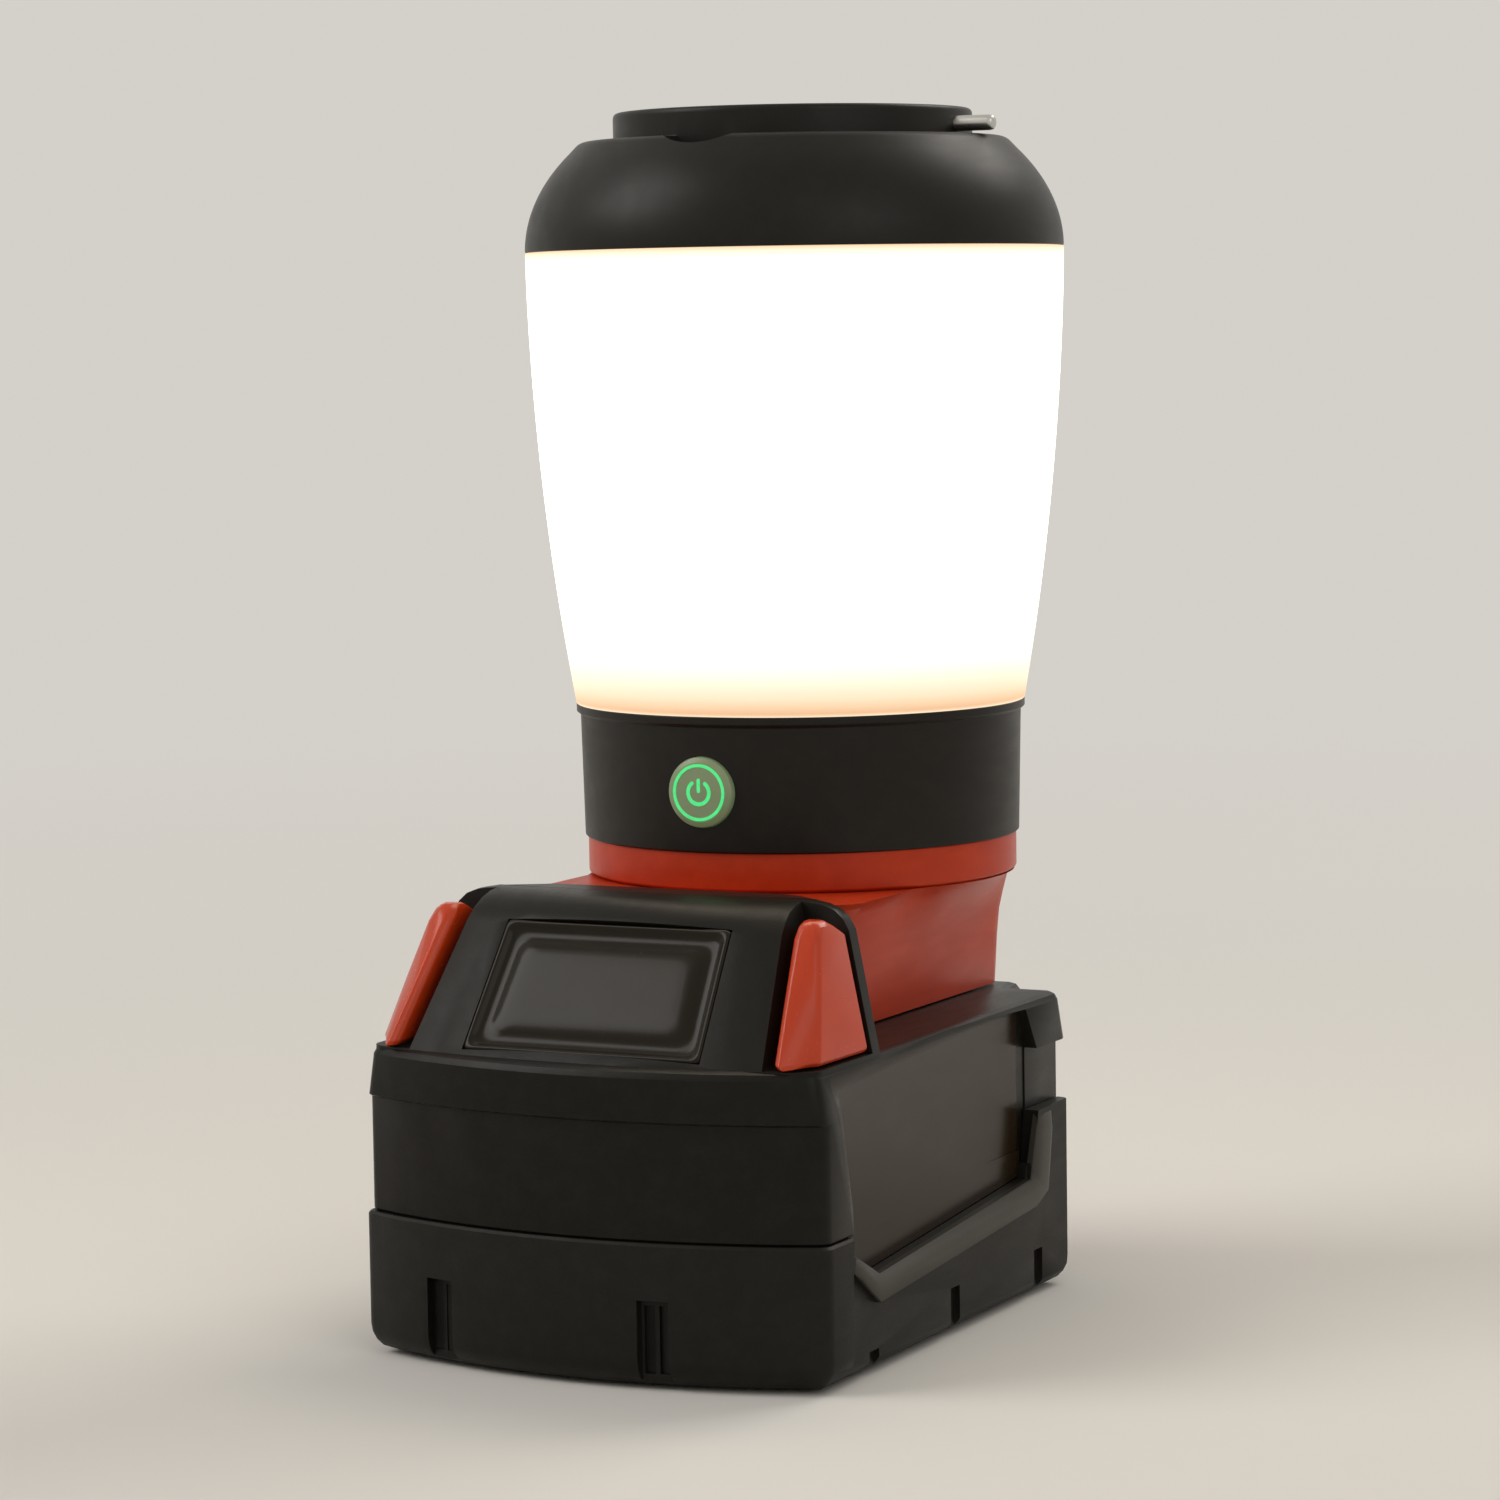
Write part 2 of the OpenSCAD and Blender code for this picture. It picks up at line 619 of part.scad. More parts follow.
// Hood in front of the lamp: leaning bowed front, drafted sides, soft top edge
module hood() {
    soft = [[4.2, 0], [2.5, 0.4], [1.2, 1.2], [0.4, 2.4], [0, 4]];
    loft(concat([for (z = [shoulder_z - 4.4, shoulder_z, shoulder_z + 9]) [z, hood_outline(z, 0)]],
                [for (e = soft) [hood_z - e[0], hood_outline(hood_z - e[0], e[1])]]));
}

// Places children on the leaning front of the hood: X across, Y up the slope, Z out of it
module on_hood_front() {
    translate([0, -hood_front(shoulder_z), shoulder_z]) rotate([atan(1 / hood_lean), 0, 0]) children();
}

module panel_plate(w0, w1, y0, y1, z0, z1) {
    translate([0, 0, z0]) linear_extrude(z1 - z0) polygon([[-w0, y0], [w0, y0], [w1, y1], [-w1, y1]]);
}

module hood_recess(d) {
    on_hood_front() panel_plate(20.5 - d, 19.5 - d, 1.6 + d, 24.6 - d, -2.6 + d, 8);
}

module hood_panel() {
    seat = -2.6;
    color("#1c1c1d") at_lamp() on_hood_front() {
        panel_plate(20.3, 19.3, 1.8, 24.4, seat, seat + 1);
        panel_plate(16.2, 15.2, 5.6, 20.4, seat + 1, seat + 1.8);
    }
}

// ---------- latches ----------

// Edges of the right latch at height z: inner front, ridge between front and side, and rear
function latch_in(z) = 32.5 - 0.16 * (z - shoulder_z);
function latch_front(z) = -hood_front(z) + hood_bow - 2 - latch_proud;
function ridge_x(z) = hood_hw(z) - 0.3;
function ridge_y(z) = -72 - latch_proud + 0.47 * (z - shoulder_z);
latch_rear = -55.4;
latch_corner = latch_top - 2.6;

// Outline at height z, drawn in by d; the rear gives way toward the top, and the corners narrow with the latch
latch_back_slope = 1.7;
function latch_outline(z, d) =
    let (i = latch_in(z) + d, f = latch_front(z) + d, x = ridge_x(z) - d, y = ridge_y(z) + d,
         b = latch_rear - max(z - latch_corner, 0) * latch_back_slope,
         inner = min(1.3, 0.35 * (x - i)), outer = min(0.9, 0.3 * (x - i)), deep = min(1.4, 0.4 * (b - f)))
    [[i + 0.4 * inner, f + 0.4 * deep], [i + inner, f], [x - outer, y - 0.4], [x - 0.1, y + 0.4 * deep],
     [x + 0.2, b - 0.55 * deep], [x - 0.5, b], [i, b], [i, f + deep]];

// Pocket that the latch moves in, open to the front, the side and the top
module latch_pocket() {
    loft([for (z = [latch_foot - 0.35, hood_z + 1]) let (i = latch_in(z) - latch_gap)
        [z, [[i, -pack_front - 20], [60, -pack_front - 20], [60, latch_rear + 0.4], [i, latch_rear + 0.4]]]]);
}

module latch() {
    loft([for (e = [[latch_foot, 0.6], [latch_foot + 0.7, 0], [latch_foot + 9, 0], [latch_corner, 0.1],
                    [latch_top - 0.9, 0.4], [latch_top - 0.3, 0.8], [latch_top, 1.2]]) [e[0], latch_outline(e[0], e[1])]]);
}

module latch_right() {
    color("#cf2e1c") at_lamp() latch();
}

module latch_left() {
    color("#cf2e1c") at_lamp() mirror([1, 0, 0]) latch();
}

// ---------- inside the pack ----------

cell_pitch = cell_d + 0.05;
cell_row_y = pack_rear - 1.4 - cell_pitch / 2;
cell_low_z = pack_wall + 1 + cell_d / 2;

module at_cell(i) {
    translate([0, cell_row_y - cell_pitch * (i % 5), cell_low_z + (cell_d + 0.4) * floor(i / 5)]) children();
}

// Room for the first and last cells of both rows, which reach into the shells' corners
module cell_bays() {
    for (i = [0, 4, 5, 9]) at_cell(i) rotate([0, 90, 0]) cylinder(d = cell_d + 0.2, h = cell_l + 3, center = true);
}

module cell(i) {
    color("#3f7d5a") at_lamp() at_cell(i) rotate([0, 90, 0]) union() {
        translate([0, 0, -cell_l / 2]) cylinder(d = cell_d, h = cell_l);
        translate([0, 0, cell_l / 2 - 0.1]) cylinder(d = 7, h = 0.9);
    }
}

// Tray ribs under the cells
module cell_tray() {
    color("#3a3a3c") at_lamp() difference() {
        for (x = [-22, 22]) translate([x - 2, cell_row_y - cell_pitch * 4.4, pack_wall])
            cube([4, cell_pitch * 4.8, cell_d / 2]);
        for (i = [0:4]) translate([0, cell_row_y - cell_pitch * i, cell_low_z]) rotate([0, 90, 0])
            cylinder(d = cell_d + 0.1, h = 80, center = true);
    }
}

module link_plate(x) {
    at_lamp() translate([x, cell_row_y - cell_pitch * 4.3, cell_low_z - 4]) cube([0.3, cell_pitch * 4.6, cell_d + 8.4]);
}

module link_right() {
    color("#b9b9b4") link_plate(cell_l / 2 + 0.85);
}

module link_left() {
    color("#b9b9b4") link_plate(-cell_l / 2 - 0.35);
}

module pack_board() {
    top = cell_low_z + cell_d * 1.5 + 0.4;
    color("#1f6b3a") at_lamp(top) translate([-24, -38, 0.1]) cube([48, 44, board_t]);
}

top_cap();
hanging_bail();
cap_gasket();
lens();
lens_gasket();
top_reflector();
lower_reflector();
led_column();
led_board(0);  // led_board_1
led_board(1);  // led_board_2
led_board(2);  // led_board_3
led_board(3);  // led_board_4
led_row(0);  // led_row_1
led_row(1);  // led_row_2
led_row(2);  // led_row_3
led_row(3);  // led_row_4
lamp_deck();
switch_band();
power_button();
tact_switch();
switch_board();
driver_board();
base_collar();
base_shell();
rail_shoe();
contact_block();
contact_blades();
terminal_tower();
upper_shell();
hood_panel();
latch_right();
latch_left();
lower_shell();
cell_tray();
link_right();
link_left();
pack_board();
cell(0);  // cell_1
cell(1);  // cell_2
cell(2);  // cell_3
cell(3);  // cell_4
cell(4);  // cell_5
cell(5);  // cell_6
cell(6);  // cell_7
cell(7);  // cell_8
cell(8);  // cell_9
cell(9);  // cell_10
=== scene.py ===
"""Looks of a camping lantern that stands on its battery pack.

Blender works in metres. The sizes below are in millimetres, and the places are those of the CAD frame.
"""
import json
import math

import bmesh
import bpy
from mathutils import Matrix, Vector


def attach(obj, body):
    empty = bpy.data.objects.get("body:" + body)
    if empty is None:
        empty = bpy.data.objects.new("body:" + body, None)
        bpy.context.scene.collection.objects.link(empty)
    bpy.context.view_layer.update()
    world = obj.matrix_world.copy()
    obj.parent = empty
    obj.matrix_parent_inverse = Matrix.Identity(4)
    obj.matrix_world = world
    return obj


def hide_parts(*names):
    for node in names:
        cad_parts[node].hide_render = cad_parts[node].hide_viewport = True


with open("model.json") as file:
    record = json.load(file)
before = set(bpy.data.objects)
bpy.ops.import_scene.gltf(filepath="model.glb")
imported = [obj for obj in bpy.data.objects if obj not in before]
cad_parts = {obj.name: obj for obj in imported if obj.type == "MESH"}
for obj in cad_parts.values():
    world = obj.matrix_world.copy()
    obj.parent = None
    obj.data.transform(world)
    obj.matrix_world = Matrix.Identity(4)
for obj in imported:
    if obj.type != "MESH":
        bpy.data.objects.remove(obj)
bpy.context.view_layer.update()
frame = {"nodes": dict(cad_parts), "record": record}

MM = 0.001
NODES = frame["nodes"]

# The lamp's axis, the heights of its seams and the radii that its pieces share
LAMP_Y = 19.4
COLLAR_Z, BAND_Z, LENS_Z, SEAM_Z = 69.3, 75.7, 97.4, 171.1
RIM_Z, TOP_Z, WELL_Z, BAIL_Z = 188.9, 193.5, 187.6, 190.6
CAP_R, RIM_R, WELL_R, FOOT_R = 44.0, 29.3, 26.3, 36.9
BAND_R, COLLAR_R = 35.8, 35.3
DOME_RISE, CAP_WALL, LENS_WALL = 28.5, 2.2, 2

# The power button, and how far its lit signs stand out of its face
BUTTON_Z, BUTTON_FACE = 85.4, LAMP_Y - 37.1
PROUD = 0.03

# The pack: its bowed front, the hood, and the sunk panels of the flanks with their leaning front edge
FRONT_Y, FRONT_BOW, HALF_WIDTH = 75.5, 7.3, 40.2
HOOD_FRONT, HOOD_Z, HOOD_TILT = 79.5, 48.5, math.atan(1 / 0.72)
PANEL_X, PANEL_FRONT, PANEL_REAR, PANEL_FOOT, PANEL_TOP, PANEL_LEAN = 35.8, 66, 21.5, 26, 47.4, 0.231

# Narrow blind slits in the slots of the front: left edges of the slots, and of the slits in each slot
SLOT_X, SLIT_STEPS, SLIT_W, SLIT_H, SLIT_Z = (-26.5, 11.5), (0.45, 2.85), 1.7, 10.4, 7.4
FRONT_WALL, SKIN = 2.6, 0.3

# Screws in the underside
SCREWS = [(-31, -40), (31, -40), (-31, 22), (31, 22)]
COUNTERBORE_R, COUNTERBORE_DEPTH = 3.4, 1.35

# Surroundings: their colour, and the lamps as (name, place in metres, watts, size in metres, colour)
BACKGROUND = (0.66, 0.635, 0.59, 1)
LAMPS = [("key", (-1.30, -0.85, 1.35), 14.0, 1.1, (1.0, 0.975, 0.94)),
         ("fill", (1.4, -0.9, 1.0), 4.0, 1.2, (1.0, 0.98, 0.95)),
         ("back", (0.55, 1.4, 1.5), 11.0, 0.9, (1.0, 0.955, 0.89))]

# The lens: its shader's emission strength, a factor on its light, and that light by share of the height
GLOW, LENS_LEVEL = 4.0, 0.86
LENS_LIGHT = [(0.0, (1.15, 0.98, 0.70)), (0.006, (0.84, 0.44, 0.20)), (0.018, (0.94, 0.60, 0.33)),
              (0.040, (1.04, 0.80, 0.54)), (0.075, (1.14, 0.99, 0.76)), (0.13, (1.6, 1.44, 1.18)),
              (0.24, (3.2, 2.8, 2.2)), (0.60, (4.2, 3.7, 2.95)), (0.90, (3.2, 2.8, 2.2)),
              (0.985, (1.25, 1.10, 0.86)), (1.0, (0.95, 0.64, 0.36))]


# ---------------------------------------------------------------- shader maths

def feed(tree, socket, value):
    """Links a signal to a socket, or sets the socket's own value."""
    if isinstance(value, Signal):
        tree.links.new(value.socket, socket)
    else:
        socket.default_value = value


class Signal:
    """One output socket, with arithmetic that adds Math nodes."""

    def __init__(self, tree, socket):
        self.tree, self.socket = tree, socket

    def math(self, operation, *values):
        node = self.tree.nodes.new("ShaderNodeMath")
        node.operation = operation
        for socket, value in zip(node.inputs, values):
            feed(self.tree, socket, value)
        return Signal(self.tree, node.outputs[0])

    def __add__(self, other):
        return self.math("ADD", self, other)

    def __radd__(self, other):
        return self.math("ADD", other, self)

    def __sub__(self, other):
        return self.math("SUBTRACT", self, other)

    def __rsub__(self, other):
        return self.math("SUBTRACT", other, self)

    def __mul__(self, other):
        return self.math("MULTIPLY", self, other)


class Finish:
    """A material on one Principled shader; constants go straight to the shader's sockets."""

    def __init__(self, name, **constants):
        self.material = bpy.data.materials.new(name)
        self.material.use_nodes = True
        self.tree = self.material.node_tree
        self.shader = self.tree.nodes["Principled BSDF"]
        self.set(**constants)

    def set(self, **values):
        for name, value in values.items():
            feed(self.tree, self.shader.inputs[name.replace("_", " ")], value)
        return self

    def add(self, kind, sockets=None, out=0, stops=None, **settings):
        """Any node: its settings first, then the values or links of its sockets."""
        node = self.tree.nodes.new(kind)
        for name, value in settings.items():
            setattr(node, name, value)
        if stops:
            ramp = node.color_ramp
            while len(ramp.elements) < len(stops):
                ramp.elements.new(0.5)
            for element, (place, colour) in zip(ramp.elements, stops):
                element.position = place
                element.color = (*colour, 1)
        for key, value in (sockets or {}).items():
            feed(self.tree, node.inputs[key], value)
        return Signal(self.tree, node.outputs[out])

    def place(self, stretch=(1, 1, 1)):
        """Object coordinates, stretched along the axes."""
        where = self.add("ShaderNodeTexCoord", out=3)
        return self.add("ShaderNodeMapping", {"Vector": where, "Scale": stretch})

    def noise(self, size, detail=2.0, stretch=(1, 1, 1)):
        """Noise with features of about that size, in millimetres."""
        return self.add("ShaderNodeTexNoise", {"Vector": self.place(stretch), "Scale": 1 / (size * MM),
                                               "Detail": detail, "Roughness": 0.55})

    def step(self, value, low, high):
        """Runs from 0 to 1 while a value goes from low to high, in millimetres."""
        return self.add("ShaderNodeMapRange", {"Value": value, "From Min": low * MM, "From Max": high * MM})

    def along(self, axis, low, high):
        """Runs from 0 to 1 between two places on an axis, in millimetres."""
        split = self.add("ShaderNodeSeparateXYZ", {"Vector": self.place()}, out="XYZ".index(axis))
        return self.step(split, low, high)

    def ramp(self, factor, stops):
        return self.add("ShaderNodeValToRGB", {"Fac": factor}, stops=stops)

    def mix(self, factor, low, high):
        return self.add("ShaderNodeMix", {0: factor, 6: low, 7: high}, out=2, data_type="RGBA")

    def emboss(self, height, depth):
        """Bump of that depth in millimetres for a height of 0 to 1."""
        return self.add("ShaderNodeBump", {"Height": height, "Distance": depth * MM, "Strength": 1.0})


def rgb(r, g, b):
    return (r, g, b, 1)


# ---------------------------------------------------------------- finishes

def side_panel_mask(f):
    """1 inside the sunk panels on the pack's flanks, whose front edge leans; there it places a painted warm
    reflection and a smoother finish.
    """
    where = f.place()
    x, y, z = (f.add("ShaderNodeSeparateXYZ", {"Vector": where}, out=k) for k in range(3))
    edge = LAMP_Y - PANEL_FRONT + PANEL_LEAN * PANEL_FOOT
    flank = f.step(x.math("ABSOLUTE", x), PANEL_X, PANEL_X + 0.8)
    behind = f.step(y + z * PANEL_LEAN - edge * MM, 0, 0.6)
    ahead = f.step(y, PANEL_REAR, PANEL_REAR - 0.6)
    low = f.step(z, PANEL_TOP, PANEL_TOP - 0.8)
    return flank * behind * ahead * low


def moulded(name, pale, deep, roughness, grain, depth, panel=None, **constants):
    """Moulded plastic with a spark-eroded grain, cloudy colour and faint rub marks; with panel, the flank
    panels get a paler, browner tone that is a painted warm reflection.
    """
    f = Finish(name, **constants)
    cloud = f.noise(22, 3)
    fine = f.noise(grain, 2)
    rub = f.noise(3.2, 4, stretch=(1, 0.25, 1))
    marks = f.ramp(rub, [(0.42, (0, 0, 0)), (0.74, (1, 1, 1))])
    tone = f.mix(cloud, rgb(*deep), rgb(*pale))
    rough = roughness + (cloud - 0.5) * 0.10 + (fine - 0.5) * 0.12 - marks * 0.05
    relief = fine * 0.8 + cloud * 0.4
    if panel:
        mask = side_panel_mask(f)
        # Paler, browner tone in the flank panels: painted warm reflection
        tone = f.mix(mask, tone, rgb(*panel))
        rough = rough - mask * 0.16
        relief = relief * (1 - mask * 0.7)
    rubbed = rgb(*[min(1, c * 1.6 + 0.01) for c in pale])
    f.set(Base_Color=f.mix(marks * 0.16, tone, rubbed), Roughness=rough, Normal=f.emboss(relief, depth))
    return f.material


def glossy(name, pale, deep, roughness, **constants):
    """Polished moulding with slow waviness and faint hairline scratches."""
    f = Finish(name, **constants)
    wave = f.noise(9, 2)
    hair = f.noise(0.5, 3, stretch=(1, 0.06, 0.5))
    hairs = f.ramp(hair, [(0.60, (0, 0, 0)), (0.72, (1, 1, 1))])
    f.set(Base_Color=f.mix(wave, rgb(*deep), rgb(*pale)),
          Roughness=roughness + (wave - 0.5) * 0.08 + hairs * 0.05,
          Normal=f.emboss(wave * 0.6 + hairs * 0.06, 0.02))
    return f.material


def frosted_lens():
    """Lit white, warmer and dimmer at its foot and top; the strength keeps the ramp's colours below 1."""
    f = Finish("lens_frosted", Roughness=0.42, Emission_Strength=GLOW)
    height = f.along("Z", LENS_Z, SEAM_Z)
    frost = f.noise(0.35, 2)
    cloud = f.noise(30, 2)
    share = LENS_LEVEL / GLOW
    glow = f.ramp(height, [(place, tuple(c * share for c in colour)) for place, colour in LENS_LIGHT])
    f.set(Base_Color=f.mix(cloud, rgb(0.30, 0.28, 0.24), rgb(0.34, 0.32, 0.28)), Emission_Color=glow,
          Normal=f.emboss(frost, 0.015))
    return f.material


def drawn_steel():
    """Bail wire with fine lines along it and a little tarnish."""
    f = Finish("wire_drawn_steel", Metallic=1.0)
    lines = f.noise(0.5, 3, stretch=(0.08, 1, 1))
    tarnish = f.noise(4, 3)
    f.set(Base_Color=f.mix(tarnish, rgb(0.50, 0.49, 0.46), rgb(0.68, 0.67, 0.64)),
          Roughness=0.18 + lines * 0.16 + tarnish * 0.08, Normal=f.emboss(lines, 0.01))
    return f.material


def lit_sign():
    """Green light behind the button's symbol."""
    f = Finish("sign_lit_green", Roughness=0.35, Emission_Strength=1.0)
    uneven = f.noise(0.9, 2)
    f.set(Base_Color=rgb(0.05, 0.30, 0.10),
          Emission_Color=f.mix(uneven, rgb(0.025, 0.52, 0.13), rgb(0.08, 0.78, 0.24)))
    return f.material


def button_resin():
    """Milky resin that the sign's light tints green."""
    f = Finish("button_resin", Roughness=0.34, Emission_Strength=0.10)
    cloud = f.noise(2.4, 3)
    fine = f.noise(0.2, 2)
    f.set(Base_Color=f.mix(cloud, rgb(0.215, 0.235, 0.135), rgb(0.27, 0.29, 0.175)),
          Emission_Color=f.mix(cloud, rgb(0.2, 0.5, 0.2), rgb(0.3, 0.6, 0.25)), Normal=f.emboss(fine, 0.01))
    return f.material


def metal(name, pale, deep, roughness, stretch):
    """Bare metal with lines along one axis, the one with the smallest stretch."""
    f = Finish(name, Metallic=1.0)
    lines = f.noise(0.6, 3, stretch=stretch)
    cloud = f.noise(6, 2)
    f.set(Base_Color=f.mix(cloud, rgb(*deep), rgb(*pale)), Roughness=roughness + lines * 0.15,
          Normal=f.emboss(lines, 0.01))
    return f.material


def circuit(name, pale, deep):
    """Solder mask over copper tracks."""
    f = Finish(name, Roughness=0.35)
    tracks = f.add("ShaderNodeTexBrick", {"Vector": f.place(), "Scale": 420.0, "Mortar Size": 0.03}, out=1)
    cloud = f.noise(5, 2)
    f.set(Base_Color=f.mix(tracks * 0.6 + cloud * 0.25, rgb(*deep), rgb(*pale)),
          Normal=f.emboss(tracks, 0.03))
    return f.material


# Moulded finishes give roughness, grain and depth of the grain after their pale and deep colour
FINISHES = {
    "cap": moulded("cap_satin_black", (0.013, 0.0115, 0.0085), (0.008, 0.0075, 0.006), 0.40, 0.22, 0.010,
                   Specular_IOR_Level=0.20),
    "band": moulded("band_satin_black", (0.015, 0.012, 0.0085), (0.010, 0.008, 0.006), 0.42, 0.20, 0.010,
                    Specular_IOR_Level=0.20),
    "lens": frosted_lens(),
    "wire": drawn_steel(),
    "button": button_resin(),
    "sign": lit_sign(),
    "red_satin": moulded("base_satin_red", (0.60, 0.050, 0.010), (0.48, 0.034, 0.007), 0.36, 0.28, 0.010,
                         Specular_IOR_Level=0.22),
    "red_gloss": glossy("latch_gloss_red", (0.66, 0.060, 0.010), (0.54, 0.040, 0.007), 0.24,
                        Specular_IOR_Level=0.30, Coat_Weight=0.15, Coat_Roughness=0.10),
    "pack_black": moulded("pack_grained_black", (0.011, 0.0095, 0.007), (0.006, 0.0055, 0.004), 0.48, 0.36,
                          0.030, Specular_IOR_Level=0.20),
    # The rib's black is paler than the pack's: a painted highlight for the light that its upward-leaning face
    # catches
    "rib": moulded("rib_smooth_black_painted_highlight", (0.030, 0.026, 0.018), (0.022, 0.019, 0.013), 0.34, 0.5, 0.008,
                   Specular_IOR_Level=0.32),
    # The panel colour is a painted warm reflection on the flank panels; their lower roughness is real
    "pack_upper": moulded("pack_grained_with_panel_sheen", (0.012, 0.010, 0.0075), (0.0065, 0.006, 0.0045), 0.38,
                          0.36, 0.022, panel=(0.024, 0.0145, 0.007), Specular_IOR_Level=0.15),
    "panel_black": glossy("panel_smoked", (0.017, 0.012, 0.006), (0.010, 0.008, 0.004), 0.22,
                          Specular_IOR_Level=0.18),
    "black_nylon": moulded("rail_nylon", (0.030, 0.030, 0.032), (0.020, 0.020, 0.022), 0.50, 0.30, 0.02),
    "tray": moulded("tray_grey", (0.06, 0.06, 0.062), (0.04, 0.04, 0.042), 0.5, 0.4, 0.02),
    "switch": moulded("switch_black", (0.03, 0.03, 0.03), (0.02, 0.02, 0.02), 0.45, 0.2, 0.01),
    "gasket": moulded("gasket_rubber", (0.028, 0.028, 0.028), (0.018, 0.018, 0.018), 0.7, 0.15, 0.02),
    "white": moulded("reflector_white", (0.82, 0.82, 0.80), (0.78, 0.78, 0.76), 0.5, 0.2, 0.008),
    "led": glossy("led_phosphor", (0.85, 0.60, 0.16), (0.78, 0.50, 0.12), 0.3),
    "cell_sleeve": glossy("cell_sleeve", (0.060, 0.22, 0.11), (0.045, 0.17, 0.085), 0.3),
    "aluminium": metal("aluminium_extruded", (0.62, 0.63, 0.65), (0.52, 0.53, 0.55), 0.30, (1, 1, 0.05)),
    "brass": metal("blade_brass", (0.60, 0.38, 0.14), (0.50, 0.30, 0.10), 0.25, (1, 0.06, 1)),
    "nickel": metal("link_nickel", (0.58, 0.57, 0.54), (0.48, 0.47, 0.45), 0.28, (1, 0.06, 1)),
    "board": circuit("board_green", (0.03, 0.16, 0.06), (0.014, 0.085, 0.032)),
    "white_board": circuit("board_white", (0.80, 0.80, 0.77), (0.70, 0.70, 0.68)),
}


# ---------------------------------------------------------------- mesh helpers

def rounded(corners, steps=5):
    """Outline through corners (x, y, radius), each rounded to its radius, in millimetres."""
    outline = []
    count = len(corners)
    for i, (x, y, radius) in enumerate(corners):
        here = Vector((x, y))
        if radius <= 0:
            outline.append(here)
            continue
        to_last = Vector(corners[i - 1][:2]) - here
        to_next = Vector(corners[(i + 1) % count][:2]) - here
        bend = to_last.angle(to_next)
        cut = min(radius / math.tan(bend / 2), 0.49 * to_last.length, 0.49 * to_next.length)
        start, end = here + to_last.normalized() * cut, here + to_next.normalized() * cut
        for k in range(steps + 1):
            t = k / steps
            outline.append(start * (1 - t) ** 2 + here * 2 * t * (1 - t) + end * t ** 2)
    return outline


def finished(name, bm, finish, sharp=32):
    """Turns a bmesh in millimetres into a smooth-shaded piece in metres."""
    bmesh.ops.remove_doubles(bm, verts=bm.verts, dist=1e-4)
    bmesh.ops.recalc_face_normals(bm, faces=bm.faces)
    bmesh.ops.scale(bm, vec=(MM, MM, MM), verts=bm.verts)
    mesh = bpy.data.meshes.new(name)
    bm.to_mesh(mesh)
    bm.free()
    mesh.materials.append(FINISHES[finish])
    piece = bpy.data.objects.new(name, mesh)
    bpy.context.scene.collection.objects.link(piece)
    smooth(mesh, sharp)
    return piece


def smooth(mesh, sharp):
    mesh.shade_smooth()
    mesh.set_sharp_from_angle(angle=math.radians(sharp))


def turned(bm, outline, centre=(0, LAMP_Y), segments=240):
    """Revolves a closed outline of (radius, height) points round a vertical axis."""
    rings = [[bm.verts.new((centre[0] + r * math.cos(a), centre[1] + r * math.sin(a), z)) for r, z in outline]
             for a in (2 * math.pi * k / segments for k in range(segments))]
    count = len(outline)
    for k in range(segments):
        here, there = rings[k], rings[(k + 1) % segments]
        for i in range(count):
            j = (i + 1) % count
            if outline[i][0] < 1e-6 and outline[j][0] < 1e-6:
                continue
            bm.faces.new((here[i], there[i], there[j], here[j]))


def cut_away(piece, cutters):
    """Subtracts closed cutters from a piece and removes them."""
    for cutter in cutters:
        modifier = piece.modifiers.new("cut", "BOOLEAN")
        modifier.object = cutter
        modifier.operation = "DIFFERENCE"
        modifier.solver = "EXACT"
    bpy.context.view_layer.update()
    result = bpy.data.meshes.new_from_object(piece.evaluated_get(bpy.context.evaluated_depsgraph_get()))
    piece.modifiers.clear()
    piece.data = result
    for cutter in cutters:
        bpy.data.objects.remove(cutter)


def rod(bm, start, end, radius, segments=48):
    """Closed straight rod between two points."""
    start, end = Vector(start), Vector(end)
    axis = end - start
    turn = axis.to_track_quat("Z", "Y").to_matrix().to_4x4()
    bmesh.ops.create_cone(bm, cap_ends=True, segments=segments, radius1=radius, radius2=radius,
                          depth=axis.length, matrix=Matrix.Translation((start + end) / 2) @ turn)


def cutter(build):
    """Closed form that build draws, to be subtracted and removed."""
    bm = bmesh.new()
    build(bm)
    return finished("cutter", bm, "cap")


def settle(piece, body, slot, *nodes):
    """Puts a finished piece on its body and hides the CAD nodes that it stands for; slot is not used."""
    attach(piece, body)
    if nodes:
        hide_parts(*nodes)


# ---------------------------------------------------------------- cap, lens, band, collar

def dome_radius(height):
    return CAP_R * math.sqrt(1 - (height / DOME_RISE) ** 2)


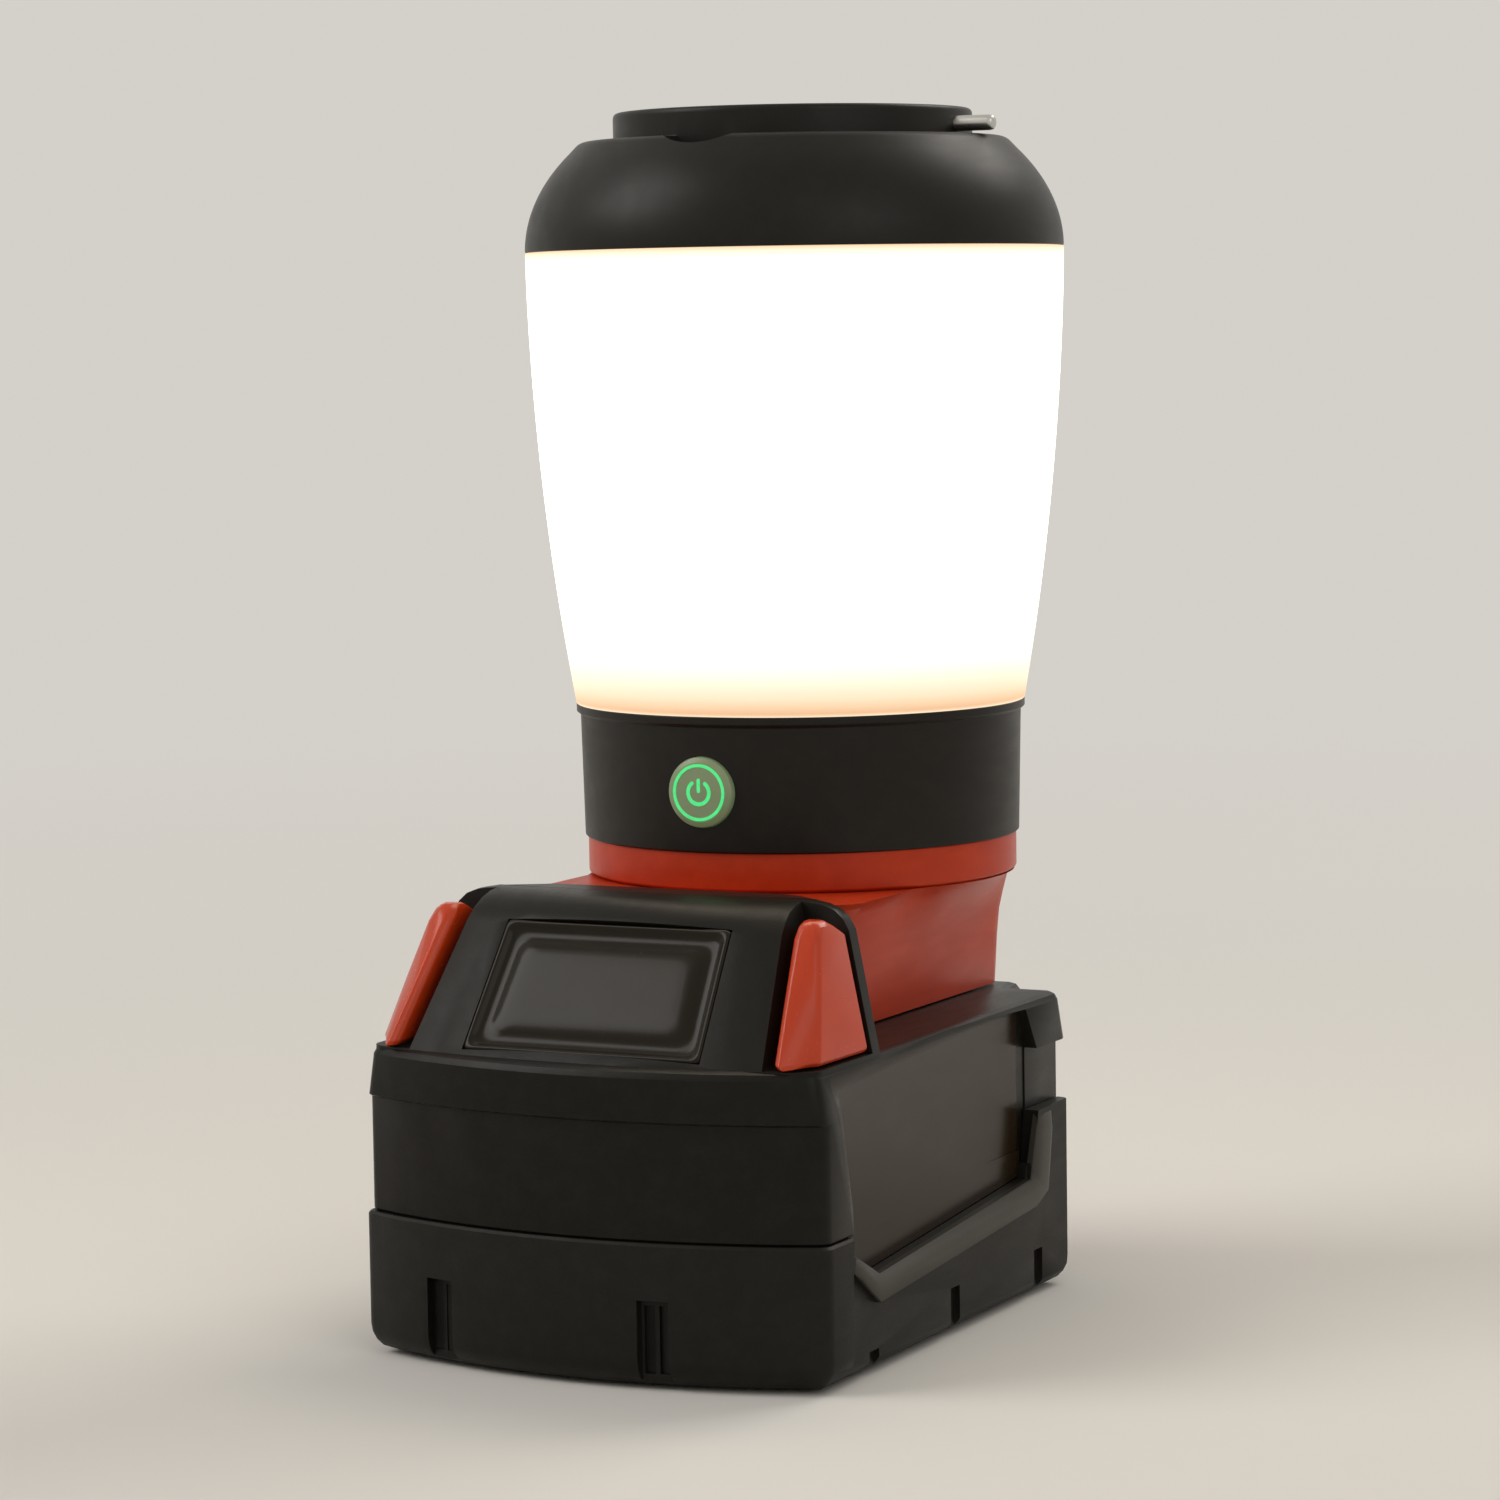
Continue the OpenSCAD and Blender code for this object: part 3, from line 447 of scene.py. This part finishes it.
def make_cap():
    """Dome, rim and well, with the bail's two holes and a thumb scoop, and a tongue inside the lens."""
    steps, dome_top = 28, 16.4
    tongue_in, tongue_out, tongue_z = 39.9, 41.7, SEAM_Z - 4
    outside = [(dome_radius(dome_top * i / steps), SEAM_Z + dome_top * i / steps, 0) for i in range(1, steps)]
    inside = [(dome_radius(h) - CAP_WALL, SEAM_Z + h, 0) for h in (13.4, 10, 7, 4.5, 2.2)]
    profile = rounded([(tongue_out, SEAM_Z, 0.2), (CAP_R, SEAM_Z, 0.35)] + outside
                      + [(34.7, RIM_Z, 2.6), (RIM_R, RIM_Z, 0.25), (RIM_R, TOP_Z, 1.0), (WELL_R, TOP_Z, 0.7),
                         (WELL_R, WELL_Z, 0.9), (0, WELL_Z, 0), (0, WELL_Z - CAP_WALL, 0)]
                      + inside + [(tongue_in, SEAM_Z + 1.6, 0), (tongue_in, tongue_z, 0.3),
                                  (tongue_out, tongue_z, 0.3)])
    bm = bmesh.new()
    turned(bm, profile)
    cap = finished("cap", bm, "cap")

    def bores(bm):
        bore_r, past, blind = 1.33, 3, 1.98
        rod(bm, (WELL_R - past, LAMP_Y, BAIL_Z), (RIM_R + past, LAMP_Y, BAIL_Z), bore_r)
        rod(bm, (past - WELL_R, LAMP_Y, BAIL_Z), (-WELL_R - blind, LAMP_Y, BAIL_Z), bore_r)

    def scoop(bm):
        middle = Matrix.Translation((0, LAMP_Y - RIM_R - 1.7, RIM_Z + 6.7))
        bmesh.ops.create_uvsphere(bm, u_segments=128, v_segments=96, radius=9.5, matrix=middle)

    def inside_rim(bm):
        rod(bm, (0, LAMP_Y, RIM_Z - 6), (0, LAMP_Y, RIM_Z + 20), RIM_R, 240)

    hollow = cutter(scoop)
    cut_away(hollow, [cutter(inside_rim)])
    cut_away(cap, [cutter(bores), hollow])
    smooth(cap.data, 30)
    settle(cap, "lamp", "cap", "top_cap")


def lens_radius(depth):
    """Outer radius of the lens at a depth below the cap; it narrows faster toward the foot."""
    t = depth / (SEAM_Z - LENS_Z)
    return CAP_R - (CAP_R - FOOT_R) * (0.19 * t + 0.81 * t * t)


def make_lens():
    """Frosted tube with a spigot that seats in the switch band."""
    steps, tall = 40, SEAM_Z - LENS_Z
    spigot_in, spigot_out, spigot_z = 32.9, 34.5, LENS_Z - 2.4
    depths = [tall * (1 - i / steps) for i in range(1, steps)]
    outside = [(lens_radius(d), SEAM_Z - d, 0) for d in depths]
    inside = [(lens_radius(d) - LENS_WALL, SEAM_Z - d, 0) for d in reversed(depths)]
    spigot = [(spigot_in, LENS_Z + 1.2, 0), (spigot_in, spigot_z, 0.2), (spigot_out, spigot_z, 0.2),
              (spigot_out, LENS_Z, 0)]
    profile = rounded([(FOOT_R, LENS_Z, 0.3)] + outside
                      + [(CAP_R, SEAM_Z, 0.3), (CAP_R - LENS_WALL, SEAM_Z, 0.2)] + inside + spigot)
    bm = bmesh.new()
    turned(bm, profile)
    settle(finished("lens", bm, "lens"), "lamp", "lens", "lens")


def make_band():
    """Switch band with a flared lip, the lens's socket, a shelf for the deck and the button's bore."""
    inner, shelf, socket, mouth = 33.6, 31.6, 34.65, 35.9
    lip, bore_end = LENS_Z - 1.5, LAMP_Y - 32.9
    outside = [(inner, BAND_Z, 0.2), (BAND_R, BAND_Z, 0.3), (36.25, lip - 0.25, 0.1), (36.55, lip, 0.1),
               (FOOT_R, lip + 0.3, 0.15), (FOOT_R, LENS_Z, 0.25)]
    inside = [(mouth, LENS_Z, 0.1), (mouth, LENS_Z - 0.8, 0), (socket, LENS_Z - 0.8, 0),
              (socket, LENS_Z - 2.6, 0), (inner, LENS_Z - 3.5, 0), (inner, LENS_Z - 5, 0),
              (shelf, LENS_Z - 5, 0), (shelf, LENS_Z - 6.2, 0), (inner, LENS_Z - 8.2, 0)]
    bm = bmesh.new()
    turned(bm, rounded(outside + inside))
    band = finished("switch_band", bm, "band")

    def bore(start, end, radius):
        return cutter(lambda bm: rod(bm, (0, start, BUTTON_Z), (0, end, BUTTON_Z), radius, 96))

    cut_away(band, [bore(LAMP_Y - 45, bore_end, 5.75), bore(bore_end, LAMP_Y - 20, 6.8)])
    smooth(band.data, 30)
    settle(band, "lamp", "band", "switch_band")


def make_collar():
    """Round red tray between the base and the band."""
    inner, floor_z = 32.9, COLLAR_Z + 2
    profile = rounded([(0, COLLAR_Z, 0), (34.5, COLLAR_Z, 0.3), (COLLAR_R, COLLAR_Z + 0.5, 0.4),
                       (COLLAR_R, BAND_Z, 0.25), (inner, BAND_Z, 0.2), (inner, floor_z, 0), (0, floor_z, 0)])
    bm = bmesh.new()
    turned(bm, profile)
    settle(finished("collar", bm, "red_satin"), "lamp", "red_satin", "base_collar")


# ---------------------------------------------------------------- button and bail

def to_button(bm):
    """Turns a form drawn round the vertical axis to face the front, at the button's place."""
    turn = Matrix.Rotation(-math.pi / 2, 4, "X")
    bmesh.ops.transform(bm, verts=bm.verts, matrix=Matrix.Translation((0, BUTTON_FACE, BUTTON_Z)) @ turn)


def make_button():
    """Button with a rounded face, a flange behind the band and a stem to the switch."""
    stem_r, barrel_r, flange_r = 2, 5.65, 6.45
    flange, flange_back, stem_end = 4.29, 5.29, 8.09
    profile = rounded([(0, 0, 0), (4.75, 0.1, 0.3), (5.62, 0.5, 0.5), (barrel_r, 1.2, 0.2),
                       (barrel_r, flange, 0), (flange_r, flange, 0.1), (flange_r, flange_back, 0.1),
                       (stem_r, flange_back, 0), (stem_r, stem_end, 0.2), (0, stem_end, 0)])
    bm = bmesh.new()
    turned(bm, profile, centre=(0, 0), segments=96)
    to_button(bm)
    settle(finished("power_button", bm, "button"), "button", "button", "power_button")


def inlay(name, outline):
    """Flat sign set into the button's face; outline in (x, z) round the button's middle."""
    bm = bmesh.new()
    front = [bm.verts.new((x, BUTTON_FACE - PROUD, BUTTON_Z + z)) for x, z in outline]
    back = [bm.verts.new((x, BUTTON_FACE + 0.3, BUTTON_Z + z)) for x, z in outline]
    count = len(outline)
    bm.faces.new(front)
    bm.faces.new(reversed(back))
    for i in range(count):
        j = (i + 1) % count
        bm.faces.new((front[i], back[i], back[j], front[j]))
    settle(finished(name, bm, "sign"), "button", "button")


def arc_band(radius, width, start, end, steps):
    """Outline of an arc-shaped stroke with round ends."""
    half, end_steps = width / 2, 6
    points = []
    for side, a0, a1 in ((radius + half, start, end), (radius - half, end, start)):
        along = (a0 + (a1 - a0) * k / steps for k in range(steps + 1))
        points += [(side * math.cos(a), side * math.sin(a)) for a in along]
        tip_x, tip_y = radius * math.cos(a1), radius * math.sin(a1)
        lean = a1 if side > radius else a1 + math.pi
        round_end = (lean + math.pi * k / end_steps for k in range(1, end_steps))
        points += [(tip_x + half * math.cos(a), tip_y + half * math.sin(a)) for a in round_end]
    return points


def make_signs():
    """Lit ring and power symbol: an open arc with a bar through the gap."""
    inner, outer, deep = 4.05, 4.55, 0.4
    bm = bmesh.new()
    ring = rounded([(inner, -PROUD, 0.05), (outer, -PROUD, 0.05), (outer, deep, 0), (inner, deep, 0)], 3)
    turned(bm, ring, centre=(0, 0), segments=96)
    to_button(bm)
    settle(finished("sign_ring", bm, "sign"), "button", "button")
    gap = math.radians(38)
    inlay("sign_arc", arc_band(1.85, 0.62, math.pi / 2 + gap, math.pi * 2.5 - gap, 40))
    half, high, low = 0.3, 1.95, 0.25
    bar = [(half * math.cos(a), high + half * math.sin(a)) for a in (math.pi * k / 8 for k in range(9))]
    bar += [(-x, -(z - high) + low) for x, z in bar]
    inlay("sign_bar", bar)


def swept(bm, path, radius, sides=20):
    """Tube along a path with rounded ends."""
    rings = []
    count = len(path)
    for i, point in enumerate(path):
        ahead = (path[min(i + 1, count - 1)] - path[max(i - 1, 0)]).normalized()
        across = Vector((0, 0, 1)) if abs(ahead.z) < 0.9 else Vector((0, 1, 0))
        side = ahead.cross(across).normalized()
        up = side.cross(ahead)
        rings.append([bm.verts.new(point + side * radius[i] * math.cos(a) + up * radius[i] * math.sin(a))
                      for a in (2 * math.pi * k / sides for k in range(sides))])
    for here, there in zip(rings, rings[1:]):
        for k in range(sides):
            bm.faces.new((here[k], there[k], there[(k + 1) % sides], here[(k + 1) % sides]))
    bm.faces.new(rings[0])
    bm.faces.new(reversed(rings[-1]))


def arc_points(x, y, radius, start, end, steps):
    """Points along a level arc round (x, y)."""
    angles = (start + (end - start) * k / steps for k in range(steps + 1))
    return [Vector((x + radius * math.cos(a), y + radius * math.sin(a), 0)) for a in angles]


def make_bail():
    """Wire bail: a pivot in each side of the well, an arch between them and a tail outside the rim."""
    bend, arch, wire, tail = 2.5, 18.0, 1.25, 6.7
    side, middle = arch + bend, Vector((0, LAMP_Y, BAIL_Z))
    path = [Vector((-WELL_R - 1.58, 0, 0))]
    path += arc_points(-side, -bend, bend, math.pi / 2, 0, 8)
    path += arc_points(0, -bend, arch, math.pi, 2 * math.pi, 40)[1:-1]
    path += arc_points(side, -bend, bend, math.pi, math.pi / 2, 8)
    path += [Vector((RIM_R + tail - d, 0, 0)) for d in (0.9, 0.35, 0.1, 0)]
    radii = [wire] * (len(path) - 3) + [wire * 0.92, wire * 0.7, wire * 0.45]
    bm = bmesh.new()
    swept(bm, [p + middle for p in path], radii)
    settle(finished("bail_wire", bm, "wire", 50), "bail", "wire", "hanging_bail")


# ---------------------------------------------------------------- shells taken from the CAD nodes

def refined(node, body, finish, slot, edge, sharp=35, cuts=()):
    """Merged copy of a CAD node with its edges softened, after any small cuts."""
    bm = bmesh.new()
    bm.from_mesh(NODES[node].data)
    bmesh.ops.remove_doubles(bm, verts=bm.verts, dist=2e-5)
    bmesh.ops.dissolve_limit(bm, angle_limit=math.radians(1.5), verts=bm.verts, edges=bm.edges)
    mesh = bpy.data.meshes.new(node)
    bm.to_mesh(mesh)
    bm.free()
    mesh.materials.clear()
    mesh.materials.append(FINISHES[finish])
    piece = bpy.data.objects.new(node + "_soft", mesh)
    bpy.context.scene.collection.objects.link(piece)
    if cuts:
        cut_away(piece, list(cuts))
    smooth(piece.data, sharp)
    if edge:
        bevel = piece.modifiers.new("soft_edges", "BEVEL")
        bevel.width = edge * MM
        bevel.segments = 3
        bevel.limit_method = "ANGLE"
        bevel.angle_limit = math.radians(28)
        bevel.use_clamp_overlap = True
        bevel.harden_normals = True
    settle(piece, body, slot, node)


# ---------------------------------------------------------------- inlay, ribs, screws

# Section of the hood's inlay: how far in from its edge, height from the hood's front, corner radius
INLAY = [(0.3, -2.58, 0.6), (0.0, -2.4, 0.7), (0.0, -1.15, 0.9), (0.12, -0.95, 1.2), (0.4, -0.88, 1.5),
         (0.7, -0.98, 1.7), (1.0, -1.30, 1.9), (1.3, -1.62, 2.1), (1.8, -1.80, 2.3), (2.5, -1.82, 2.4),
         (3.0, -1.74, 2.5), (3.5, -1.54, 2.6), (4.1, -1.32, 2.7), (4.8, -1.18, 2.8), (5.8, -1.12, 2.6),
         (7.2, -1.10, 2.2), (8.4, -1.10, 1.8)]


def inset_outline(d, radius, steps=6):
    """Hood panel's outline drawn in by d, with round corners, in the plane of the hood's front."""
    low, high, foot, top = 20.35 - d, 19.35 - d, 1.75 + d, 24.45 - d
    corners = [(-low, foot, radius), (low, foot, radius), (high, top, radius), (-high, top, radius)]
    return rounded(corners, steps)


def joined(bm, rings):
    """Skins a row of equal closed rings; the caller closes the two ends."""
    count = len(rings[0])
    for here, there in zip(rings, rings[1:]):
        for k in range(count):
            bm.faces.new((here[k], here[(k + 1) % count], there[(k + 1) % count], there[k]))


def make_hood_panel():
    """Inlay: a lip round the edge, a channel, and a soft pad in the middle."""
    place = Matrix.Translation((0, LAMP_Y - HOOD_FRONT, HOOD_Z)) @ Matrix.Rotation(HOOD_TILT, 4, "X")
    bm = bmesh.new()
    rings = [[bm.verts.new(place @ Vector((p.x, p.y, z))) for p in inset_outline(d, r)] for d, z, r in INLAY]
    joined(bm, rings)
    bm.faces.new(rings[-1])
    bm.faces.new(reversed(rings[0]))
    settle(finished("hood_inlay", bm, "panel_black", 70), "pack", "panel_black", "hood_panel")


# Chevron rib on a flank: its upper and lower edge, as (y from the lamp's axis, z)
RIB = [((-66.0, 19.6), (-66.4, 17.0)), ((-63.8, 18.55), (-64.25, 15.5)), ((-57.3, 15.4), (-57.8, 10.9)),
       ((0.4, 19.9), (2.1, 15.1)), ((0.9, 21.4), (7.0, 17.0)), ((3.2, 28.15), (8.8, 27.05)),
       ((4.0, 30.4), (9.4, 30.4))]

# Its section: share of the way from the upper to the lower edge, and x
RIB_SECTION = [(0.0, 39.3), (0.02, 40.15), (0.08, 40.36), (0.5, 40.56), (0.9, 40.72), (0.97, 40.66),
               (1.0, 40.45), (1.0, 39.3)]


def make_rib(side):
    """Raised strip whose face leans up and out; its two ends run down into the flank."""
    last = len(RIB) - 1
    bm = bmesh.new()
    rings = []
    for place, (upper, lower) in enumerate(RIB):
        ring = []
        for t, x in RIB_SECTION:
            y, z = (a + (b - a) * t for a, b in zip(upper, lower))
            if place in (0, last):
                x = min(x, HALF_WIDTH - 0.1)
            ring.append(bm.verts.new((side * x, LAMP_Y + y, z)))
        rings.append(ring)
    joined(bm, rings)
    bm.faces.new(rings[0])
    bm.faces.new(reversed(rings[-1]))
    name = "flank_rib_right" if side > 0 else "flank_rib_left"
    settle(finished(name, bm, "rib", 40), "pack", "pack_black")


def screw_tree(head):
    """Geometry Nodes: one screw at each point, each turned a little differently."""
    tree = bpy.data.node_groups.new("screws", "GeometryNodeTree")
    face = tree.interface
    face.new_socket("Places", in_out="INPUT", socket_type="NodeSocketGeometry")
    face.new_socket("Screws", in_out="OUTPUT", socket_type="NodeSocketGeometry")
    spread = face.new_socket("Turn", in_out="INPUT", socket_type="NodeSocketFloat")
    start, end, screw, turn, angles, place, solid, paint = (tree.nodes.new(kind) for kind in (
        "NodeGroupInput", "NodeGroupOutput", "GeometryNodeObjectInfo", "FunctionNodeRandomValue",
        "ShaderNodeCombineXYZ", "GeometryNodeInstanceOnPoints", "GeometryNodeRealizeInstances",
        "GeometryNodeSetMaterial"))
    screw.inputs["Object"].default_value = head
    turn.data_type = "FLOAT"
    turn.inputs["Seed"].default_value = 4
    paint.inputs["Material"].default_value = FINISHES["nickel"]
    biggest_turn, turned_by = turn.inputs[3], turn.outputs[1]
    for source, target in ((start.outputs["Places"], place.inputs["Points"]),
                           (start.outputs["Turn"], biggest_turn),
                           (turned_by, angles.inputs["Z"]),
                           (angles.outputs[0], place.inputs["Rotation"]),
                           (screw.outputs["Geometry"], place.inputs["Instance"]),
                           (place.outputs[0], solid.inputs[0]),
                           (solid.outputs[0], paint.inputs["Geometry"]),
                           (paint.outputs[0], end.inputs[0])):
        tree.links.new(source, target)
    return tree, spread.identifier


def screw_head():
    """Pan head with a cross recess, facing down."""
    top, back = 0.1, 1.15
    long, short, deep = 2.7, 0.62, 1.2
    bm = bmesh.new()
    profile = rounded([(0, top, 0), (2.1, top, 0.4), (2.7, back, 0.2), (0, back, 0)], 4)
    turned(bm, profile, centre=(0, 0), segments=40)
    head = finished("screw_head", bm, "nickel")

    def slot(x, y):
        return cutter(lambda bm: bmesh.ops.create_cube(bm, size=1, matrix=Matrix.Diagonal((x, y, deep, 1))))

    cut_away(head, [slot(long, short), slot(short, long)])
    return head


def make_screws():
    """One mesh with a screw in each counterbore of the underside."""
    places = bpy.data.meshes.new("screw_places")
    places.from_pydata([(x * MM, y * MM, 0.2 * MM) for x, y in SCREWS], [], [])
    maker = bpy.data.objects.new("screw_maker", places)
    bpy.context.scene.collection.objects.link(maker)
    head = screw_head()
    tree, turn_key = screw_tree(head)
    modifier = maker.modifiers.new("screws", "NODES")
    modifier.node_group = tree
    modifier[turn_key] = 1.5
    bpy.context.view_layer.update()
    mesh = bpy.data.meshes.new_from_object(maker.evaluated_get(bpy.context.evaluated_depsgraph_get()))
    for item in (maker, head):
        bpy.data.objects.remove(item)
    screws = bpy.data.objects.new("pack_screws", mesh)
    bpy.context.scene.collection.objects.link(screws)
    smooth(mesh, 30)
    settle(screws, "pack", "nickel")


def counterbore(x, y):
    """Cutter for a screw's sunk seat in the underside."""
    return cutter(lambda bm: rod(bm, (x, y, -1), (x, y, COUNTERBORE_DEPTH), COUNTERBORE_R, 64))


# ---------------------------------------------------------------- the rest

def dress_cad_nodes():
    """Gives every CAD node its finish by its record slot."""
    for entry in frame["record"]["subparts"]:
        node = NODES[entry["node"]]
        for slot in node.material_slots:
            slot.link = "OBJECT"
            slot.material = FINISHES[entry["material_slot"]]


def slit(x):
    """Cutter for a narrow blind slit in the floor of a slot; it stops inside the bowed front wall."""
    middle, ahead = x + SLIT_W / 2, 2
    face = LAMP_Y - FRONT_Y - FRONT_BOW * (1 - (middle / HALF_WIDTH) ** 2)
    start, end = face - ahead, face + FRONT_WALL - SKIN
    place = Matrix.Translation((middle, (start + end) / 2, SLIT_Z))
    size = Matrix.Diagonal((SLIT_W, end - start, SLIT_H, 1))
    return cutter(lambda bm: bmesh.ops.create_cube(bm, size=1, matrix=place @ size))


def plain_rays(tree):
    """1 for rays that show the plain surroundings: the camera's, and those that metal or glass sends on."""
    rays = tree.nodes.new("ShaderNodeLightPath")
    camera, glossy, through = (Signal(tree, rays.outputs[name])
                               for name in ("Is Camera Ray", "Is Glossy Ray", "Is Transmission Ray"))
    return camera.math("MAXIMUM", camera, camera.math("MAXIMUM", glossy, through))


def make_stage():
    """Round pale floor, just below the foot, that runs out into the pale surroundings; sizes in metres."""
    radius, drop, fade_start, fade_end = 8.0, 0.0003, 0.12, 1.1
    bm = bmesh.new()
    bmesh.ops.create_circle(bm, cap_ends=True, radius=radius, segments=96,
                            matrix=Matrix.Translation((0, 0, -drop)))
    mesh = bpy.data.meshes.new("floor")
    bm.to_mesh(mesh)
    bm.free()
    floor = bpy.data.objects.new("floor", mesh)
    bpy.context.scene.collection.objects.link(floor)
    f = Finish("floor_paper", Base_Color=rgb(0.86, 0.83, 0.775), Roughness=0.9)
    distance = f.add("ShaderNodeVectorMath", {0: f.place()}, out=1, operation="LENGTH")
    far = f.add("ShaderNodeMapRange", {"Value": distance, "From Min": fade_start, "From Max": fade_end},
                interpolation_type="SMOOTHSTEP")
    plain = f.add("ShaderNodeEmission", {"Color": BACKGROUND, "Strength": 1.0})
    lit = Signal(f.tree, f.shader.outputs[0])
    blend = f.add("ShaderNodeMixShader", {0: far * plain_rays(f.tree), 1: lit, 2: plain})
    f.tree.links.new(blend.socket, f.tree.nodes["Material Output"].inputs["Surface"])
    mesh.materials.append(f.material)


def make_world():
    """Soft light from all round, and the plain background for the rays that show it."""
    world = bpy.data.worlds.new("studio")
    bpy.context.scene.world = world
    world.use_nodes = True
    tree = world.node_tree
    tree.nodes.clear()
    soft, plain, mix, out = (tree.nodes.new("ShaderNode" + kind)
                             for kind in ("Background", "Background", "MixShader", "OutputWorld"))
    for shader, colour, strength in ((soft, rgb(1.0, 0.985, 0.96), 0.32), (plain, BACKGROUND, 1.0)):
        shader.inputs["Color"].default_value = colour
        shader.inputs["Strength"].default_value = strength
    feed(tree, mix.inputs[0], plain_rays(tree))
    tree.links.new(soft.outputs[0], mix.inputs[1])
    tree.links.new(plain.outputs[0], mix.inputs[2])
    tree.links.new(mix.outputs[0], out.inputs[0])


def make_lamp(name, place, power, size, colour):
    """Square lamp aimed at the middle of the lantern."""
    light = bpy.data.lights.new(name, "AREA")
    light.energy, light.size, light.color = power, size, colour
    lamp = bpy.data.objects.new(name, light)
    lamp.location = place
    lamp.rotation_euler = (Vector((0, 0, 0.09)) - Vector(place)).to_track_quat("-Z", "Y").to_euler()
    bpy.context.scene.collection.objects.link(lamp)


def make_camera():
    """Camera from the front right, a little above the lantern's middle; its place is in metres."""
    eye = Vector((0.34087, -0.67412, 0.15990))
    ahead, up = Vector((-0.44903, 0.88884, -0.09133)), Vector((-0.02763, 0.08835, 0.99571))
    data = bpy.data.cameras.new("view")
    data.lens, data.sensor_width, data.sensor_fit = 112.807, 36.0, "HORIZONTAL"
    data.clip_end = 30.0
    camera = bpy.data.objects.new("view", data)
    axes = Matrix((ahead.cross(up), up, -ahead)).transposed().to_4x4()
    camera.matrix_world = Matrix.Translation(eye) @ axes
    bpy.context.scene.collection.objects.link(camera)
    bpy.context.scene.camera = camera


make_camera()
make_world()
for lamp in LAMPS:
    make_lamp(*lamp)
make_stage()
dress_cad_nodes()
make_cap()
make_lens()
make_band()
make_collar()
make_button()
make_signs()
make_bail()
make_hood_panel()
make_rib(1)
make_rib(-1)
make_screws()
refined("base_shell", "lamp", "red_satin", "red_satin", 0.5)
refined("latch_right", "latch_r", "red_gloss", "red_gloss", 0.7)
refined("latch_left", "latch_l", "red_gloss", "red_gloss", 0.7)
refined("upper_shell", "pack", "pack_upper", "pack_black", 0.35)
refined("lower_shell", "pack", "pack_black", "pack_black", 0.3,
        cuts=[counterbore(x, y) for x, y in SCREWS] + [slit(x + step) for x in SLOT_X for step in SLIT_STEPS])

scene = bpy.context.scene
scene.view_settings.view_transform = "Standard"
